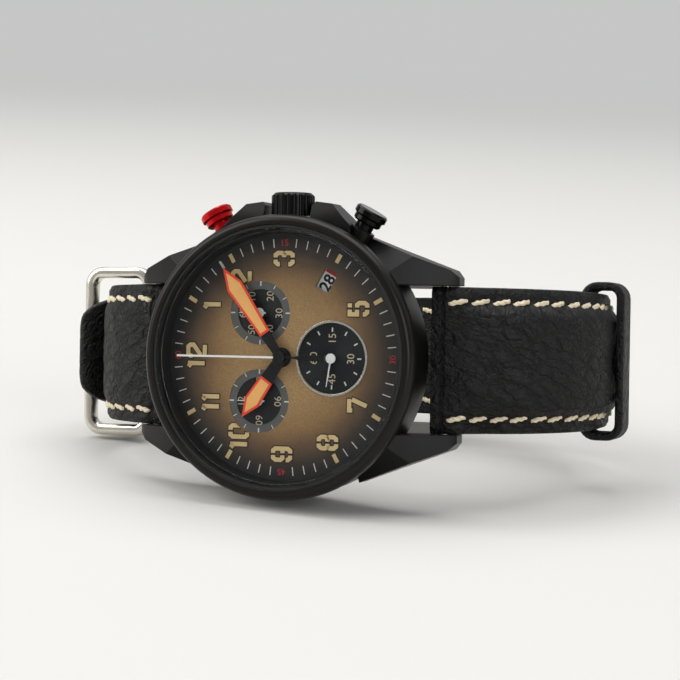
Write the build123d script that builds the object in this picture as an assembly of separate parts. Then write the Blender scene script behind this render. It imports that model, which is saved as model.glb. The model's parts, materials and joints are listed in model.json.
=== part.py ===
from build123d import *
import math
import os

# Pilot's chronograph on a closed leather strap. Millimetres and degrees.
# Each piece is drawn on the bench: +X to 6 o'clock, +Y to the crown, +Z out of the dial.
# The whole watch is then stood on its 9 o'clock side, as it lies on a table.

# Fits
press_gap = 0.02
run_gap = 0.04
loose_gap = 0.3
overrun = 1.0

# Case middle
bezel_diameter = 43.0
band_diameter = 42.0
case_top = 4.4
case_bottom = -4.2
bore_diameter = 38.5
band_chamfer = 1.3
band_belly = 0.35
lug_gap = 22.3
lug_tip_x = 25.8
lug_root_x = 11.0
lug_root_width = 7.6
lug_tip_width = 2.3
lug_tip_cut = 1.1
lug_shoulder_x = 16.5
lug_top = 3.7
lug_tip_top = -1.2
lug_tip_bottom = -6.2
lug_facet_drop = 4.6
lug_facet_start = 1.7
bar_x = 23.4
bar_z = -3.4
bar_radius = 0.85
bar_tip_radius = 0.45
bar_tip_length = 1.1

# Crown guards
guard_gap = 7.5
guard_reach = 23.6
guard_length = 6.4
guard_foot = 17.0
guard_half_height = 2.9
guard_tip_half_height = 1.7
guard_slope_length = 2.4

# Bezel, crystal and rehaut
bezel_top = 7.0
bezel_bottom_step = 0.5
bezel_inner_diameter = 39.7
bezel_lip_width = 0.35
bezel_round_shares = (0.27, 0.24)
crystal_thickness = 1.6
crystal_bevel = 0.28
gasket_width = 0.4
gasket_height = 1.15
rehaut_top = 5.6
rehaut_inner_diameter = 37.2
rehaut_top_diameter = 38.0

# Case back
back_flange_diameter = 40.6
back_flange_thickness = 1.0
back_dome_diameter = 33.0
back_dome_height = 0.5
back_spigot_diameter = 37.2
back_spigot_height = 0.8
back_notches = 6
back_notch_width = 2.2
back_notch_depth = 1.2

# Crown, tube and stem
crown_diameter = 6.6
crown_length = 3.6
crown_start = 21.4
crown_dome = 0.5
crown_flutes = 22
crown_flute_radius = 0.36
crown_flute_share = 0.33
crown_recess_depth = 1.5
tube_radius = 1.4
tube_bore_radius = 0.8
stem_radius = 0.5
stem_inner_end = 10.4
stem_groove_depth = 0.15
stem_groove_width = 0.5
stem_groove_place = 11.0
oring_height = 0.8

# Pushers
pusher_angle = 30.0
pusher_head_radius = 2.55
pusher_rim_radius = 2.2
pusher_head_start = 23.5
pusher_rim_thickness = 0.9
pusher_head_thickness = 1.3
pusher_edge = 0.25
pusher_neck_radius = 1.4
pusher_stem_radius = 0.8
pusher_inner_end = 17.9
pusher_travel = 0.8
pusher_tube_radius = 2.0
pusher_tube_end = 22.5
pusher_seat = 20.4
spring_wire = 0.22
spring_turns = 3
spring_pitch_share = 1.25
clip_radius = 1.3
clip_thickness = 0.3

# Dial and its recesses
dial_face = 3.2
dial_thickness = 0.5
sub_offset = 7.7
counter_radius = 4.8
counter_ring_width = 1.15
seconds_radius = 5.35
seconds_ring_width = 0.32
plate_thickness = 0.25
ring_height = 0.17
dial_hole_radius = 1.15
date_radius = 13.4
date_angle = 30.0
date_width = 2.2
date_height = 3.3

# Hands
hour_level = 3.85
minute_level = 4.35
chrono_level = 4.85
sub_level = 3.48
hand_thickness = 0.18
sub_hand_thickness = 0.12
hour_length = 11.0
minute_length = 16.3
chrono_length = 16.7
chrono_tail = 7.2
hour_width = 2.5
hour_root_width = 1.7
hour_widest_share = 0.75
minute_width = 2.65
minute_root_width = 1.2
minute_widest_share = 0.8
hand_hub_radius = 1.5
minute_hub_radius = 1.25
chrono_hub_radius = 0.9
chrono_width = 0.3
chrono_tail_width = 0.9
chrono_tail_shares = (0.33, 0.5)
hand_point_share = 0.33
seconds_hand_length = 4.3
seconds_hand_tail = 0.7
counter_hand_length = 3.4
counter_hand_tail = 1.0
sub_hand_width = 0.26
sub_hub_radius = 0.75
hour_shown = 10.15
minute_shown = 9.1
seconds_shown = 46.5

# Arbors in the movement
hour_pipe_radius = 0.95
cannon_radius = 0.63
chrono_arbor_radius = 0.3
sub_arbor_radius = 0.2
wheel_thickness = 0.2
hour_wheel_radius = 1.95
hour_wheel_teeth = 24
sub_wheel_radius = 2.6
sub_wheel_teeth = 30
tooth_height = 0.25

# Movement
movement_radius = 15.4
plate_top = 2.2
plate_bottom = 1.2
cup_bottom = -2.0
cup_wall = 1.0
date_disc_inner = 11.6
date_disc_thickness = 0.18
date_disc_lift = 0.1
date_disc_rim_gap = 0.1
holder_bottom = -3.3
board_thickness = 0.4
board_level = -1.9
board_flat_y = 5.0
board_gap = 0.3
battery_radius = 4.75
battery_thickness = 1.65
battery_cap_shares = (0.8, 0.8)
battery_x = -6.4
battery_y = -4.6
clamp_width = 3.0
clamp_thickness = 0.15
coil_length = 8.0
coil_radius = 0.95
coil_core_radius = 0.35
coil_cheek = 0.6
coil_x = 6.6
coil_spacing = 4.4
bridge_thickness = 0.9
bridge_radius = 2.6
bridge_level = -0.9
rotor_radius = 0.75
rotor_height = 0.6
rotor_pivot_radius = 0.2
rotor_pivot_depth = 0.5
lever_width = 1.1
lever_thickness = 0.3
screw_head_radius = 0.55
screw_head_height = 0.25
screw_shank_radius = 0.3
screw_shank_length = 1.2
screw_post_radius = 1.0
screw_circle = 12.4
screw_angles_shares = (0.04, 0.46, 0.68, 0.94)
slot_width = 0.14
slot_depth = 0.12

# Strap loop, followed along its face to the wrist
strap_width = 22.0
strap_buckle_width = 20.0
strap_tail_width = 18.0
tail_tip_width = 12.6
strap_thick = 3.7
strap_end_thick = 4.0
strap_buckle_thick = 3.0
strap_tail_thick = 2.4
strap_edge = 2.5
strap_pad = 2.6
strap_edge_share = 0.7
strap_pad_shares = (0.3, 0.7)
loop_right_x = 40.9
loop_left_x = 35.7
loop_depth = 44.0
right_heading = 6.0
left_heading = 12.0
right_flank = 5.0
left_flank = 6.5
buckle_place = -1.0
layer_gap = 0.35
lug_neck_length = 6.0
tail_release = 25.0
tail_tip_length = 9.5
tail_flare = 45.0
hole_radius = 1.0
hole_pitch = 7.0
hole_count = 6

# Buckle
buckle_height = 28.0
buckle_reach = 13.0
buckle_bar = 2.2
buckle_thick = 2.0
buckle_arm = 2.4
buckle_ear = 2.6
buckle_corner = 2.6
tongue_width = 1.9
tongue_thick = 1.3
tongue_eye_radius = 1.6
tongue_overhang = 1.6

# Keepers
ring_side_room = 1.4
ring_depth = 12.6
ring_bar = 1.9
ring_width = 2.6
ring_corner = 3.2
ring_place = 23.0
keeper_wall = 1.3
keeper_width = 6.0
keeper_slack = 0.4
keeper_corner = 2.6
keeper_place = 27.8
fixed_keeper_place = 12.0
fixed_keeper_width = 5.0

# Worked out once from the sizes above
bore_radius = bore_diameter / 2
band_radius = band_diameter / 2
bezel_radius = bezel_diameter / 2
guard_shoulder = guard_reach - guard_slope_length
ring_height_outer = strap_width + (ring_side_room + ring_bar) * 2
dial_back = dial_face - dial_thickness
plate_face = dial_back + plate_thickness
crystal_radius = bezel_inner_diameter / 2 - gasket_width - press_gap
crystal_top = rehaut_top + crystal_thickness
buckle_span = buckle_height - buckle_arm * 2
buckle_end_radius = strap_buckle_thick / 2
spring_closed = spring_wire * (spring_pitch_share * spring_turns + 1)
pusher_neck_start = pusher_seat + spring_closed + pusher_travel + press_gap * 3
clip_place = bore_radius + loose_gap - press_gap


def turned(*profile):
    """A solid turned about Z from pairs of radius and height."""
    outline = Polyline(*[(radius, 0, height) for radius, height in profile], close=True)
    return revolve(make_face(outline), axis=Axis.Z)


def ring(outer, inner, low, high):
    return turned((inner, low), (outer, low), (outer, high), (inner, high))


def disc(radius, low, high, x=0, y=0):
    return Pos(x, y, low) * extrude(Circle(radius), high - low)


def block(size_x, size_y, low, high, x=0, y=0):
    return Pos(x, y, low) * extrude(Rectangle(size_x, size_y), high - low)


def prism(points, plane, depth, both=False):
    """A flat outline on a plane, pushed out by a depth."""
    face = make_face(plane * Polyline(*points, close=True))
    return extrude(face, depth, plane.z_dir, both=both)


def radial(shape, turn):
    """Turns a solid drawn along +Z to point away from the centre, turned from the crown towards 6."""
    return Rot(0, 0, -turn) * Rot(-90, 0, 0) * shape


def hour_turn(hours):
    """Turn about Z that carries a hand drawn towards 12 to an hour."""
    return -hours * 360 / 12


def place_of(hours, radius):
    """A place on the dial at an hour and a radius."""
    angle = math.radians(hours * 360 / 12)
    return -radius * math.cos(angle), radius * math.sin(angle)


# Case

def lug():
    """One lug, towards 6 o'clock and the crown: plan, side and end outlines crossed."""
    inner = lug_gap / 2
    tip_y = inner + lug_tip_width
    plan = [(lug_root_x, inner), (lug_tip_x, inner), (lug_tip_x, tip_y - lug_tip_cut),
            (lug_tip_x - lug_tip_cut, tip_y), (lug_root_x, inner + lug_root_width)]
    side = [(lug_root_x, case_bottom), (lug_root_x, lug_top), (lug_shoulder_x, lug_top),
            (lug_tip_x - lug_tip_cut, lug_tip_top), (lug_tip_x, lug_tip_top - lug_tip_cut),
            (lug_tip_x, lug_tip_bottom + lug_tip_cut), (lug_tip_x - lug_tip_cut, lug_tip_bottom),
            (lug_shoulder_x, case_bottom)]
    outer = inner + lug_root_width
    end = [(inner - overrun, lug_tip_bottom), (inner - overrun, lug_top),
           (inner + lug_facet_start, lug_top), (outer, lug_top - lug_facet_drop),
           (outer, lug_tip_bottom)]
    length = lug_tip_x + overrun
    from_above = prism(plan, Plane.XY.offset(lug_tip_bottom), lug_top - lug_tip_bottom)
    from_side = prism(side, Plane.XZ, length, both=True)
    from_end = prism(end, Plane.YZ, length)
    return from_above & from_side & from_end


def guard():
    """The crown guard on the 6 o'clock side of the crown."""
    near = guard_gap / 2
    corner = lug_tip_cut / 2
    far = near + guard_length
    plan = [(near, guard_foot), (near, guard_reach - corner), (near + corner, guard_reach),
            (near + guard_length / 2, guard_reach - band_belly), (far, guard_foot + guard_half_height),
            (far, guard_foot)]
    tip = guard_tip_half_height
    half = guard_half_height
    end = [(guard_foot, -half), (guard_foot, half), (guard_shoulder, half), (guard_reach, tip),
           (guard_reach, -tip), (guard_shoulder, -half)]
    from_above = prism(plan, Plane.XY.offset(-guard_half_height), guard_half_height * 2)
    from_end = prism(end, Plane.YZ, guard_length * 2)
    return from_above & from_end


def case_middle():
    belly = band_radius
    foot = band_radius - band_chamfer
    body = turned((0, case_bottom), (foot, case_bottom), (belly, case_bottom + band_chamfer),
                  (belly, case_top - band_belly), (belly - band_belly, case_top), (0, case_top))
    one_lug = lug()
    body += one_lug
    body += mirror(one_lug, Plane.YZ)
    body += mirror(one_lug, Plane.XZ)
    body += mirror(mirror(one_lug, Plane.YZ), Plane.XZ)
    one_guard = guard()
    body += one_guard
    body += mirror(one_guard, Plane.YZ)
    body -= disc(bore_radius, case_bottom - overrun, case_top + overrun)
    body -= radial(disc(tube_radius + press_gap, 0, crown_start + crown_length), 0)
    for side in (-1, 1):
        turn = side * pusher_angle
        body -= radial(disc(pusher_tube_radius + press_gap, 0, pusher_head_start + overrun), turn)
        hole = Rot(90, 0, 0) * Cylinder(bar_tip_radius + run_gap, lug_gap + bar_tip_length * 2)
        body -= Pos(side * bar_x, 0, bar_z) * hole
    return body


def bezel():
    """A plain rounded bezel with a narrow lip at the crystal."""
    inner = bezel_inner_diameter / 2
    lip = inner + bezel_lip_width
    low = case_top + bezel_bottom_step
    out_share, down_share = bezel_round_shares
    middle = (bezel_radius - (bezel_radius - lip) * out_share, 0, bezel_top - (bezel_top - low) * down_share)
    arc = ThreePointArc((lip, 0, bezel_top), middle, (bezel_radius, 0, low))
    straight = [(bezel_radius, low), (band_radius, case_top), (inner, case_top), (inner, bezel_top),
                (lip, bezel_top)]
    outline = Polyline(*[(radius, 0, height) for radius, height in straight])
    edges = [arc] + outline.edges()
    return revolve(make_face(edges), axis=Axis.Z)


def crystal():
    r = crystal_radius
    return turned((0, rehaut_top), (r, rehaut_top), (r, crystal_top - crystal_bevel),
                  (r - crystal_bevel, crystal_top), (0, crystal_top))


def crystal_gasket():
    return ring(bezel_inner_diameter / 2 - press_gap, crystal_radius + press_gap, rehaut_top,
                rehaut_top + gasket_height)


def rehaut():
    """The sloping ring between dial and crystal, with a flange on the case."""
    flange = bezel_inner_diameter / 2 - press_gap
    outer = bore_radius - press_gap
    return turned((rehaut_inner_diameter / 2, dial_face), (outer, dial_face), (outer, case_top),
                  (flange, case_top), (flange, rehaut_top), (rehaut_top_diameter / 2, rehaut_top))


def case_back():
    flange = back_flange_diameter / 2 - band_chamfer / 2
    outer = case_bottom - back_flange_thickness
    spigot = back_spigot_diameter / 2
    dome = back_dome_diameter / 2
    step, inside = back_dome_height, case_bottom + back_spigot_height
    body = turned((0, outer - step), (dome - step, outer - step), (dome, outer), (flange - step, outer),
                  (flange, outer + step), (flange, case_bottom), (spigot, case_bottom), (spigot, inside),
                  (0, inside))
    high = outer + back_flange_thickness / 2
    for step in range(back_notches):
        notch = block(back_notch_depth * 2, back_notch_width, outer - overrun, high, x=flange)
        body -= Rot(0, 0, step * 360 / back_notches) * notch
    return body


def back_gasket():
    inner = back_spigot_diameter / 2 + press_gap
    return ring(bore_radius - press_gap, inner, case_bottom, case_bottom + back_spigot_height / 2)


def spring_bar(span, tip):
    """A spring bar along Y with its two shouldered tips."""
    bar = Cylinder(bar_radius, span - press_gap * 2)
    bar += Cylinder(bar_tip_radius, span + tip * 2 - press_gap * 2)
    return Rot(90, 0, 0) * bar


# Crown and pushers, each drawn along +Z from the watch's centre

def crown():
    r = crown_diameter / 2
    end = crown_start + crown_length
    recess = tube_radius + run_gap * 3
    inside = crown_start + crown_recess_depth
    socket, bottom = stem_radius + press_gap, inside + crown_recess_depth
    body = turned((recess, crown_start), (r, crown_start), (r, end - crown_dome),
                  (r - crown_dome, end - press_gap), (0, end), (0, bottom), (socket, bottom),
                  (socket, inside), (recess, inside))
    for step in range(crown_flutes):
        flute = disc(crown_flute_radius, crown_start - overrun, end + overrun,
                     x=r + crown_flute_radius * crown_flute_share)
        body -= Rot(0, 0, step * 360 / crown_flutes) * flute
    return radial(body, 0)


def crown_tube():
    end = crown_start + crown_recess_depth / 2
    return radial(ring(tube_radius, tube_bore_radius, bore_radius + loose_gap, end), 0)


def winding_stem():
    end = crown_start + crown_recess_depth * 2 - press_gap
    body = disc(stem_radius, stem_inner_end, end)
    low = stem_groove_place
    groove = ring(stem_radius + overrun, stem_radius - stem_groove_depth, low, low + stem_groove_width)
    return radial(body - groove, 0)


def crown_gasket():
    low = bore_radius + loose_gap * 2
    return radial(ring(tube_bore_radius - press_gap, stem_radius + press_gap, low, low + oring_height), 0)


def pusher(turn):
    """A two-step mushroom head on its neck and stem, with a groove for the clip."""
    head = pusher_head_start
    step = head + pusher_rim_thickness
    end = step + pusher_head_thickness
    rim, top = pusher_rim_radius, pusher_head_radius
    groove = clip_place - clip_thickness
    waist = pusher_stem_radius - stem_groove_depth
    stem = pusher_stem_radius
    neck, edge = pusher_neck_radius, pusher_edge
    body = turned((0, pusher_inner_end), (stem, pusher_inner_end), (stem, groove), (waist, groove),
                  (waist, clip_place), (stem, clip_place), (stem, pusher_neck_start),
                  (neck, pusher_neck_start), (neck, head), (rim - edge, head), (rim, head + edge),
                  (rim, step), (top, step + edge), (top, end - edge), (top - edge, end), (0, end))
    return radial(body, turn)


def pusher_tube(turn):
    """A tube with a bore for the stem and a wider one for spring and neck."""
    wide, narrow = pusher_neck_radius + run_gap, pusher_stem_radius + run_gap
    start = bore_radius + loose_gap
    body = turned((narrow, start), (pusher_tube_radius, start), (pusher_tube_radius, pusher_tube_end),
                  (wide, pusher_tube_end), (wide, pusher_seat), (narrow, pusher_seat))
    return radial(body, turn)


def pusher_spring(turn):
    """The return spring, drawn at its closed length on its seat."""
    mean = (pusher_stem_radius + pusher_neck_radius) / 2
    pitch = spring_wire * spring_pitch_share
    length = pitch * spring_turns
    path = Pos(0, 0, pusher_seat + spring_wire / 2 + press_gap) * Helix(pitch, length, mean)
    section = Plane(path @ 0, z_dir=path % 0) * Circle(spring_wire / 2)
    return radial(sweep(section, path), turn)


def pusher_clip(turn):
    inner = pusher_stem_radius - stem_groove_depth + press_gap
    low = clip_place - clip_thickness + press_gap
    body = ring(clip_radius, inner, low, clip_place - press_gap)
    body -= block(inner * 2, clip_radius * 2, low - overrun, clip_place + overrun, y=clip_radius)
    return radial(body, turn)


# Dial

def dial():
    body = disc(bore_radius - press_gap, dial_back, dial_face)
    body -= disc(dial_hole_radius, dial_back - overrun, dial_face + overrun)
    for hours, radius in ((2, counter_radius), (10, counter_radius), (6, seconds_radius)):
        x, y = place_of(hours, sub_offset)
        body -= disc(radius, dial_back - overrun, dial_face + overrun, x, y)
    window = block(date_width, date_height, dial_back - overrun, dial_face + overrun, y=date_radius)
    return body - Rot(0, 0, -date_angle) * window


def sub_plate(hours, radius):
    x, y = place_of(hours, sub_offset)
    body = disc(radius - press_gap, dial_back, plate_face, x, y)
    return body - disc(sub_arbor_radius + run_gap, dial_back - overrun, plate_face + overrun, x, y)


def counter_ring(hours):
    outer = counter_radius - press_gap
    return Pos(*place_of(hours, sub_offset)) * ring(outer, outer - counter_ring_width, plate_face,
                                                    plate_face + ring_height)


def seconds_ring():
    outer, top = seconds_radius + seconds_ring_width, dial_face + ring_height
    return Pos(*place_of(6, sub_offset)) * ring(outer, seconds_radius, dial_face, top)


# Hands, each drawn towards 12 o'clock at the centre and then turned and placed

def hand_blade(length, root, width, widest_share):
    """A pilot's hand, which widens from its root and ends in a point."""
    widest = length * widest_share
    return [(0, root / 2), (-widest, width / 2), (-length, 0), (-widest, -width / 2), (0, -root / 2)]


def hour_hand():
    blade = hand_blade(hour_length, hour_root_width, hour_width, hour_widest_share)
    body = prism(blade, Plane.XY.offset(hour_level), hand_thickness)
    body += disc(hand_hub_radius, hour_level, hour_level + hand_thickness)
    body -= disc(hour_pipe_radius + press_gap, hour_level - overrun, hour_level + overrun)
    return Rot(0, 0, hour_turn(hour_shown)) * body


def minute_hand():
    blade = hand_blade(minute_length, minute_root_width, minute_width, minute_widest_share)
    body = prism(blade, Plane.XY.offset(minute_level), hand_thickness)
    body += disc(minute_hub_radius, minute_level, minute_level + hand_thickness)
    body -= disc(cannon_radius + press_gap, minute_level - overrun, minute_level + overrun)
    return Rot(0, 0, hour_turn(minute_shown / 5)) * body


def chrono_seconds_hand():
    low, high = chrono_level, chrono_level + hand_thickness
    half, tail = chrono_width / 2, chrono_tail_width / 2
    root, blade = [chrono_tail * share for share in chrono_tail_shares]
    points = [(-chrono_length, half / 2), (0, half), (root, half), (blade, tail), (chrono_tail, tail),
              (chrono_tail, -tail), (blade, -tail), (root, -half), (0, -half), (-chrono_length, -half / 2)]
    body = prism(points, Plane.XY.offset(low), hand_thickness)
    body += disc(chrono_hub_radius, low, high + hand_thickness)
    return body - disc(chrono_arbor_radius + press_gap, low - overrun, high)


def sub_hand(length, tail, hours_on_dial, turn):
    low = sub_level
    half = sub_hand_width / 2
    tip = half * hand_point_share
    points = [(-length, tip), (0, half), (tail, half), (tail, -half), (0, -half), (-length, -tip)]
    body = prism(points, Plane.XY.offset(low), sub_hand_thickness)
    body += disc(sub_hub_radius, low, low + sub_hand_thickness * 2)
    body -= disc(sub_arbor_radius + press_gap, low - overrun, low + sub_hand_thickness)
    return Pos(*place_of(hours_on_dial, sub_offset)) * Rot(0, 0, turn) * body


# Movement

def toothed_disc(radius, teeth, low, high):
    """A wheel whose teeth are plain flat-topped wedges."""
    points = []
    foot = radius - tooth_height
    for tooth in range(teeth):
        for part_share, reach in ((0, foot), (0.5, foot), (0.6, radius), (0.9, radius)):
            angle = math.tau * (tooth + part_share) / teeth
            points.append((reach * math.cos(angle), reach * math.sin(angle)))
    return prism(points, Plane.XY.offset(low), high - low)


def hour_wheel():
    low = plate_top + date_disc_lift
    body = toothed_disc(hour_wheel_radius, hour_wheel_teeth, low, low + wheel_thickness)
    body += disc(hour_pipe_radius, low, hour_level + hand_thickness)
    return body - disc(cannon_radius + run_gap, low - overrun, minute_level)


def cannon_pinion():
    low = plate_bottom - wheel_thickness
    return ring(cannon_radius, chrono_arbor_radius + run_gap, low, minute_level + hand_thickness)


def chrono_arbor():
    top = chrono_level + hand_thickness - press_gap
    return disc(chrono_arbor_radius, plate_bottom - wheel_thickness * 2, top)


def sub_arbor(hours):
    """A small hand's arbor with its wheel under the plate."""
    top = plate_bottom - run_gap
    body = toothed_disc(sub_wheel_radius, sub_wheel_teeth, top - wheel_thickness, top)
    body += disc(sub_arbor_radius, top - wheel_thickness * 2, sub_level + sub_hand_thickness - press_gap)
    return Pos(*place_of(hours, sub_offset)) * body


def main_plate():
    """A cup: plate under the dial, with a wall round the works."""
    body = disc(movement_radius, cup_bottom, plate_top)
    body -= disc(movement_radius - cup_wall, cup_bottom - overrun, plate_bottom)
    body -= ring(movement_radius + overrun, date_disc_inner - date_disc_lift, plate_top - date_disc_lift * 2,
                 plate_top + overrun)
    body -= disc(cannon_radius + run_gap, plate_bottom - overrun, plate_top + overrun)
    for hours in (2, 6, 10):
        x, y = place_of(hours, sub_offset)
        body -= disc(sub_arbor_radius + run_gap, plate_bottom - overrun, plate_top + overrun, x, y)
    low = board_level + board_thickness
    for share in screw_angles_shares:
        x, y = screw_place(share)
        post = disc(screw_post_radius, low, plate_bottom, x, y)
        body += post & disc(movement_radius - press_gap, low, plate_bottom)
        body -= disc(screw_shank_radius + press_gap, low, low + screw_shank_length, x, y)
    return body - radial(disc(stem_radius + run_gap, stem_inner_end - overrun, movement_radius + overrun), 0)


def date_disc():
    low = plate_top - date_disc_lift
    return ring(movement_radius - date_disc_rim_gap, date_disc_inner, low, low + date_disc_thickness)


def movement_holder():
    """The spacer ring between movement and case, with ways for stem and pushers."""
    body = ring(bore_radius - press_gap, movement_radius + press_gap, holder_bottom, dial_back)
    body -= ring(bore_radius + overrun, back_spigot_diameter / 2 - gasket_width, holder_bottom - overrun,
                 case_bottom + back_spigot_height + press_gap)
    body -= radial(disc(tube_bore_radius, movement_radius - overrun, bore_radius + overrun), 0)
    for side in (-1, 1):
        way = disc(clip_radius + loose_gap, movement_radius + overrun, bore_radius + overrun)
        body -= radial(way, side * pusher_angle)
    return body


def circuit_board():
    low = board_level
    body = disc(movement_radius - cup_wall - board_gap, low, low + board_thickness)
    body -= disc(battery_radius + board_gap, low - overrun, low + overrun, battery_x, battery_y)
    for share in screw_angles_shares:
        body -= disc(screw_shank_radius + run_gap, low - overrun, low + overrun, *screw_place(share))
    side = movement_radius * 2
    return body - block(side, side, low - overrun, low + overrun, y=board_flat_y + movement_radius)


def battery():
    low = board_level
    radius_share, height_share = battery_cap_shares
    body = disc(battery_radius, low, low + battery_thickness * height_share)
    body += disc(battery_radius * radius_share, low, low + battery_thickness)
    return Pos(battery_x, battery_y) * body


def battery_clamp():
    """A spring strip across the battery, square to the line from the centre."""
    low = board_level - clamp_thickness
    length = battery_radius * 2 + clamp_width
    body = Pos(0, 0, low) * extrude(SlotOverall(length, clamp_width), clamp_thickness)
    across = 90 + math.degrees(math.atan2(battery_y, battery_x))
    return Pos(battery_x, battery_y) * Rot(0, 0, across) * body


def coil(index):
    """One drive coil: core, cheeks and winding, lying on the board."""
    level = board_level + board_thickness + coil_radius + press_gap
    body = Cylinder(coil_radius, coil_length - coil_cheek * 2)
    body += Cylinder(coil_core_radius, coil_length + coil_cheek * 2)
    cheek = Box(coil_radius * 2, coil_radius * 2, coil_cheek)
    for side in (-1, 1):
        body += Pos(0, 0, side * (coil_length - coil_cheek) / 2) * cheek
    return Pos(coil_x, -coil_spacing * (index + 1) + coil_spacing / 2, level) * Rot(0, 90, 0) * body


def train_bridge():
    """A round table on the board that carries the rotor's pivot."""
    top = bridge_level + bridge_thickness
    body = disc(bridge_radius, bridge_level, top)
    body += disc(coil_core_radius * 2, board_level + board_thickness, bridge_level)
    return body - disc(rotor_pivot_radius + run_gap, top - rotor_pivot_depth - run_gap, top + overrun)


def rotor():
    low = bridge_level + bridge_thickness
    body = disc(rotor_radius, low + press_gap, low + rotor_height)
    return body + disc(rotor_pivot_radius, low - rotor_pivot_depth, low + rotor_height)


def setting_lever():
    """The lever that the stem's groove carries in and out."""
    x = stem_radius - stem_groove_depth + run_gap
    y = stem_groove_place + stem_groove_width / 2
    return block(lever_width, stem_groove_width - run_gap * 2, -lever_thickness / 2, lever_thickness / 2,
                 x=x + lever_width / 2, y=y)


def screw_place(share):
    angle = math.tau * share
    return screw_circle * math.cos(angle), screw_circle * math.sin(angle)


def movement_screw(share):
    """A slotted screw through the board into its post."""
    low = board_level - screw_head_height
    body = disc(screw_head_radius, low, board_level)
    body += disc(screw_shank_radius, low, board_level + board_thickness + screw_shank_length - loose_gap)
    body -= block(screw_head_radius * 3, slot_width, low - overrun, low + slot_depth)
    return Pos(*screw_place(share)) * body


# Strap loop. The wrist face of the loop is a chain of arcs and straights in the X-W plane, W = -Z.

class Run:
    """A path of arcs and straights: length and turn of each, from a start and a heading."""

    def __init__(self, x, w, heading, pieces, side):
        self.pieces = pieces
        self.start = (x, w, heading)
        self.side = side
        self.length = sum(length for length, turn in pieces)

    def at(self, distance):
        """Place and heading in degrees at a distance along the run."""
        x, w, heading = self.start
        left = distance
        for length, turn in self.pieces:
            span = min(left, length)
            bend = math.radians(turn) * span / length if length else 0
            angle = math.radians(heading)
            chord = span if abs(bend) < 1e-9 else 2 * span / bend * math.sin(bend / 2)
            x += self.side * chord * math.cos(angle + bend / 2)
            w += chord * math.sin(angle + bend / 2)
            heading += math.degrees(bend)
            left -= span
            if left <= 0:
                break
        return x, w, heading


def loop_side(flank_x, heading, flank, back_run, side):
    """One side of the loop from its lug: shoulder arc, flank, corner arc, and along the back."""
    start_w = -bar_z + strap_end_thick / 2
    lead = math.radians(heading)
    shoulder = (flank_x - bar_x) / (1 - math.sin(lead))
    corner = loop_depth - start_w - shoulder * math.cos(lead) - flank
    pieces = [(shoulder * math.radians(90 - heading), 90 - heading), (flank, 0), (corner * math.pi / 2, 90),
              (back_run, 0)]
    run = Run(side * bar_x, start_w, heading, pieces, side)
    return run, corner


def right_run():
    run, corner = loop_side(loop_right_x, right_heading, right_flank, 0, 1)
    return loop_side(loop_right_x, right_heading, right_flank, loop_right_x - corner - buckle_place, 1)[0]


def left_run():
    run, corner = loop_side(loop_left_x, left_heading, left_flank, 0, -1)
    return loop_side(loop_left_x, left_heading, left_flank, loop_left_x - corner + buckle_place, -1)[0]


def lifted(x, w, heading, side, lift):
    """A place lifted off the wrist face, away from the wrist."""
    angle = math.radians(heading)
    return x + side * lift * math.sin(angle), w - lift * math.cos(angle), heading


def strap_section(x, w, heading, side, width, thick):
    """A strap's section: flat to the wrist, padded outside between two thin edges."""
    angle = math.radians(heading)
    edge = min(strap_edge, thick * strap_edge_share)
    pad = strap_pad
    out_share, up_share = strap_pad_shares
    out = Vector(side * math.sin(angle), 0, math.cos(angle))
    plane = Plane(origin=(x, 0, -w), x_dir=(0, 1, 0), z_dir=Vector(0, 1, 0).cross(out))
    half = width / 2
    flat = half - pad
    mid_y, mid_t = half - pad * out_share, edge + (thick - edge) * up_share
    edges = [Line((-half, 0), (half, 0)), Line((half, 0), (half, edge)),
             ThreePointArc((half, edge), (mid_y, mid_t), (flat, thick)), Line((flat, thick), (-flat, thick)),
             ThreePointArc((-flat, thick), (-mid_y, mid_t), (-half, edge)), Line((-half, edge), (-half, 0))]
    return plane * make_face(edges)


def strap_end(side):
    """The strap's end, wrapped round its spring bar."""
    body = Rot(90, 0, 0) * Cylinder(strap_end_thick / 2, strap_width)
    return Pos(side * bar_x, 0, bar_z) * body


def bar_hole(x, z):
    return Pos(x, 0, z) * Rot(90, 0, 0) * Cylinder(bar_radius + press_gap, strap_width + overrun * 2)


def blend(share):
    """Smooth step from 0 to 1."""
    share = min(max(share, 0), 1)
    return share * share * (3 - 2 * share)


def short_half_thickness(distance, length):
    """Thickness of the 12 o'clock half along its length."""
    thinning_starts_share, thinning_share = 0.55, 0.35
    full = strap_end_thick + (strap_thick - strap_end_thick) * blend(distance / lug_neck_length)
    thinned = blend((distance / length - thinning_starts_share) / thinning_share)
    return full + (strap_buckle_thick - full) * thinned


def strap_12():
    """The 12 o'clock half: padded, tapering to the buckle, wrapped round both spring bars."""
    run = left_run()
    sections = []
    count = 14
    for step in range(count + 1):
        distance = run.length * step / count
        thick = short_half_thickness(distance, run.length)
        width = strap_width + (strap_buckle_width - strap_width) * blend(distance / run.length)
        sections.append(strap_section(*run.at(distance), -1, width, thick))
    body = loft(sections)
    body += strap_end(-1)
    x, z = buckle_axis()
    body += Pos(x, 0, z) * Rot(90, 0, 0) * Cylinder(buckle_end_radius, strap_buckle_width)
    body -= bar_hole(-bar_x, bar_z)
    body -= bar_hole(x, z)
    reach = (tongue_eye_radius + loose_gap) * 2
    return body - Pos(x, 0, z) * Box(reach, tongue_width + loose_gap * 2, strap_buckle_thick * 2)


def buckle_axis():
    """The buckle's spring bar: X and Z."""
    return buckle_place, -loop_depth - buckle_end_radius


def far_bar_z():
    """The buckle's far bar lies outside the long half where that half is still on the loop."""
    return -loop_depth - strap_tail_thick - layer_gap - buckle_thick / 2


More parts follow.
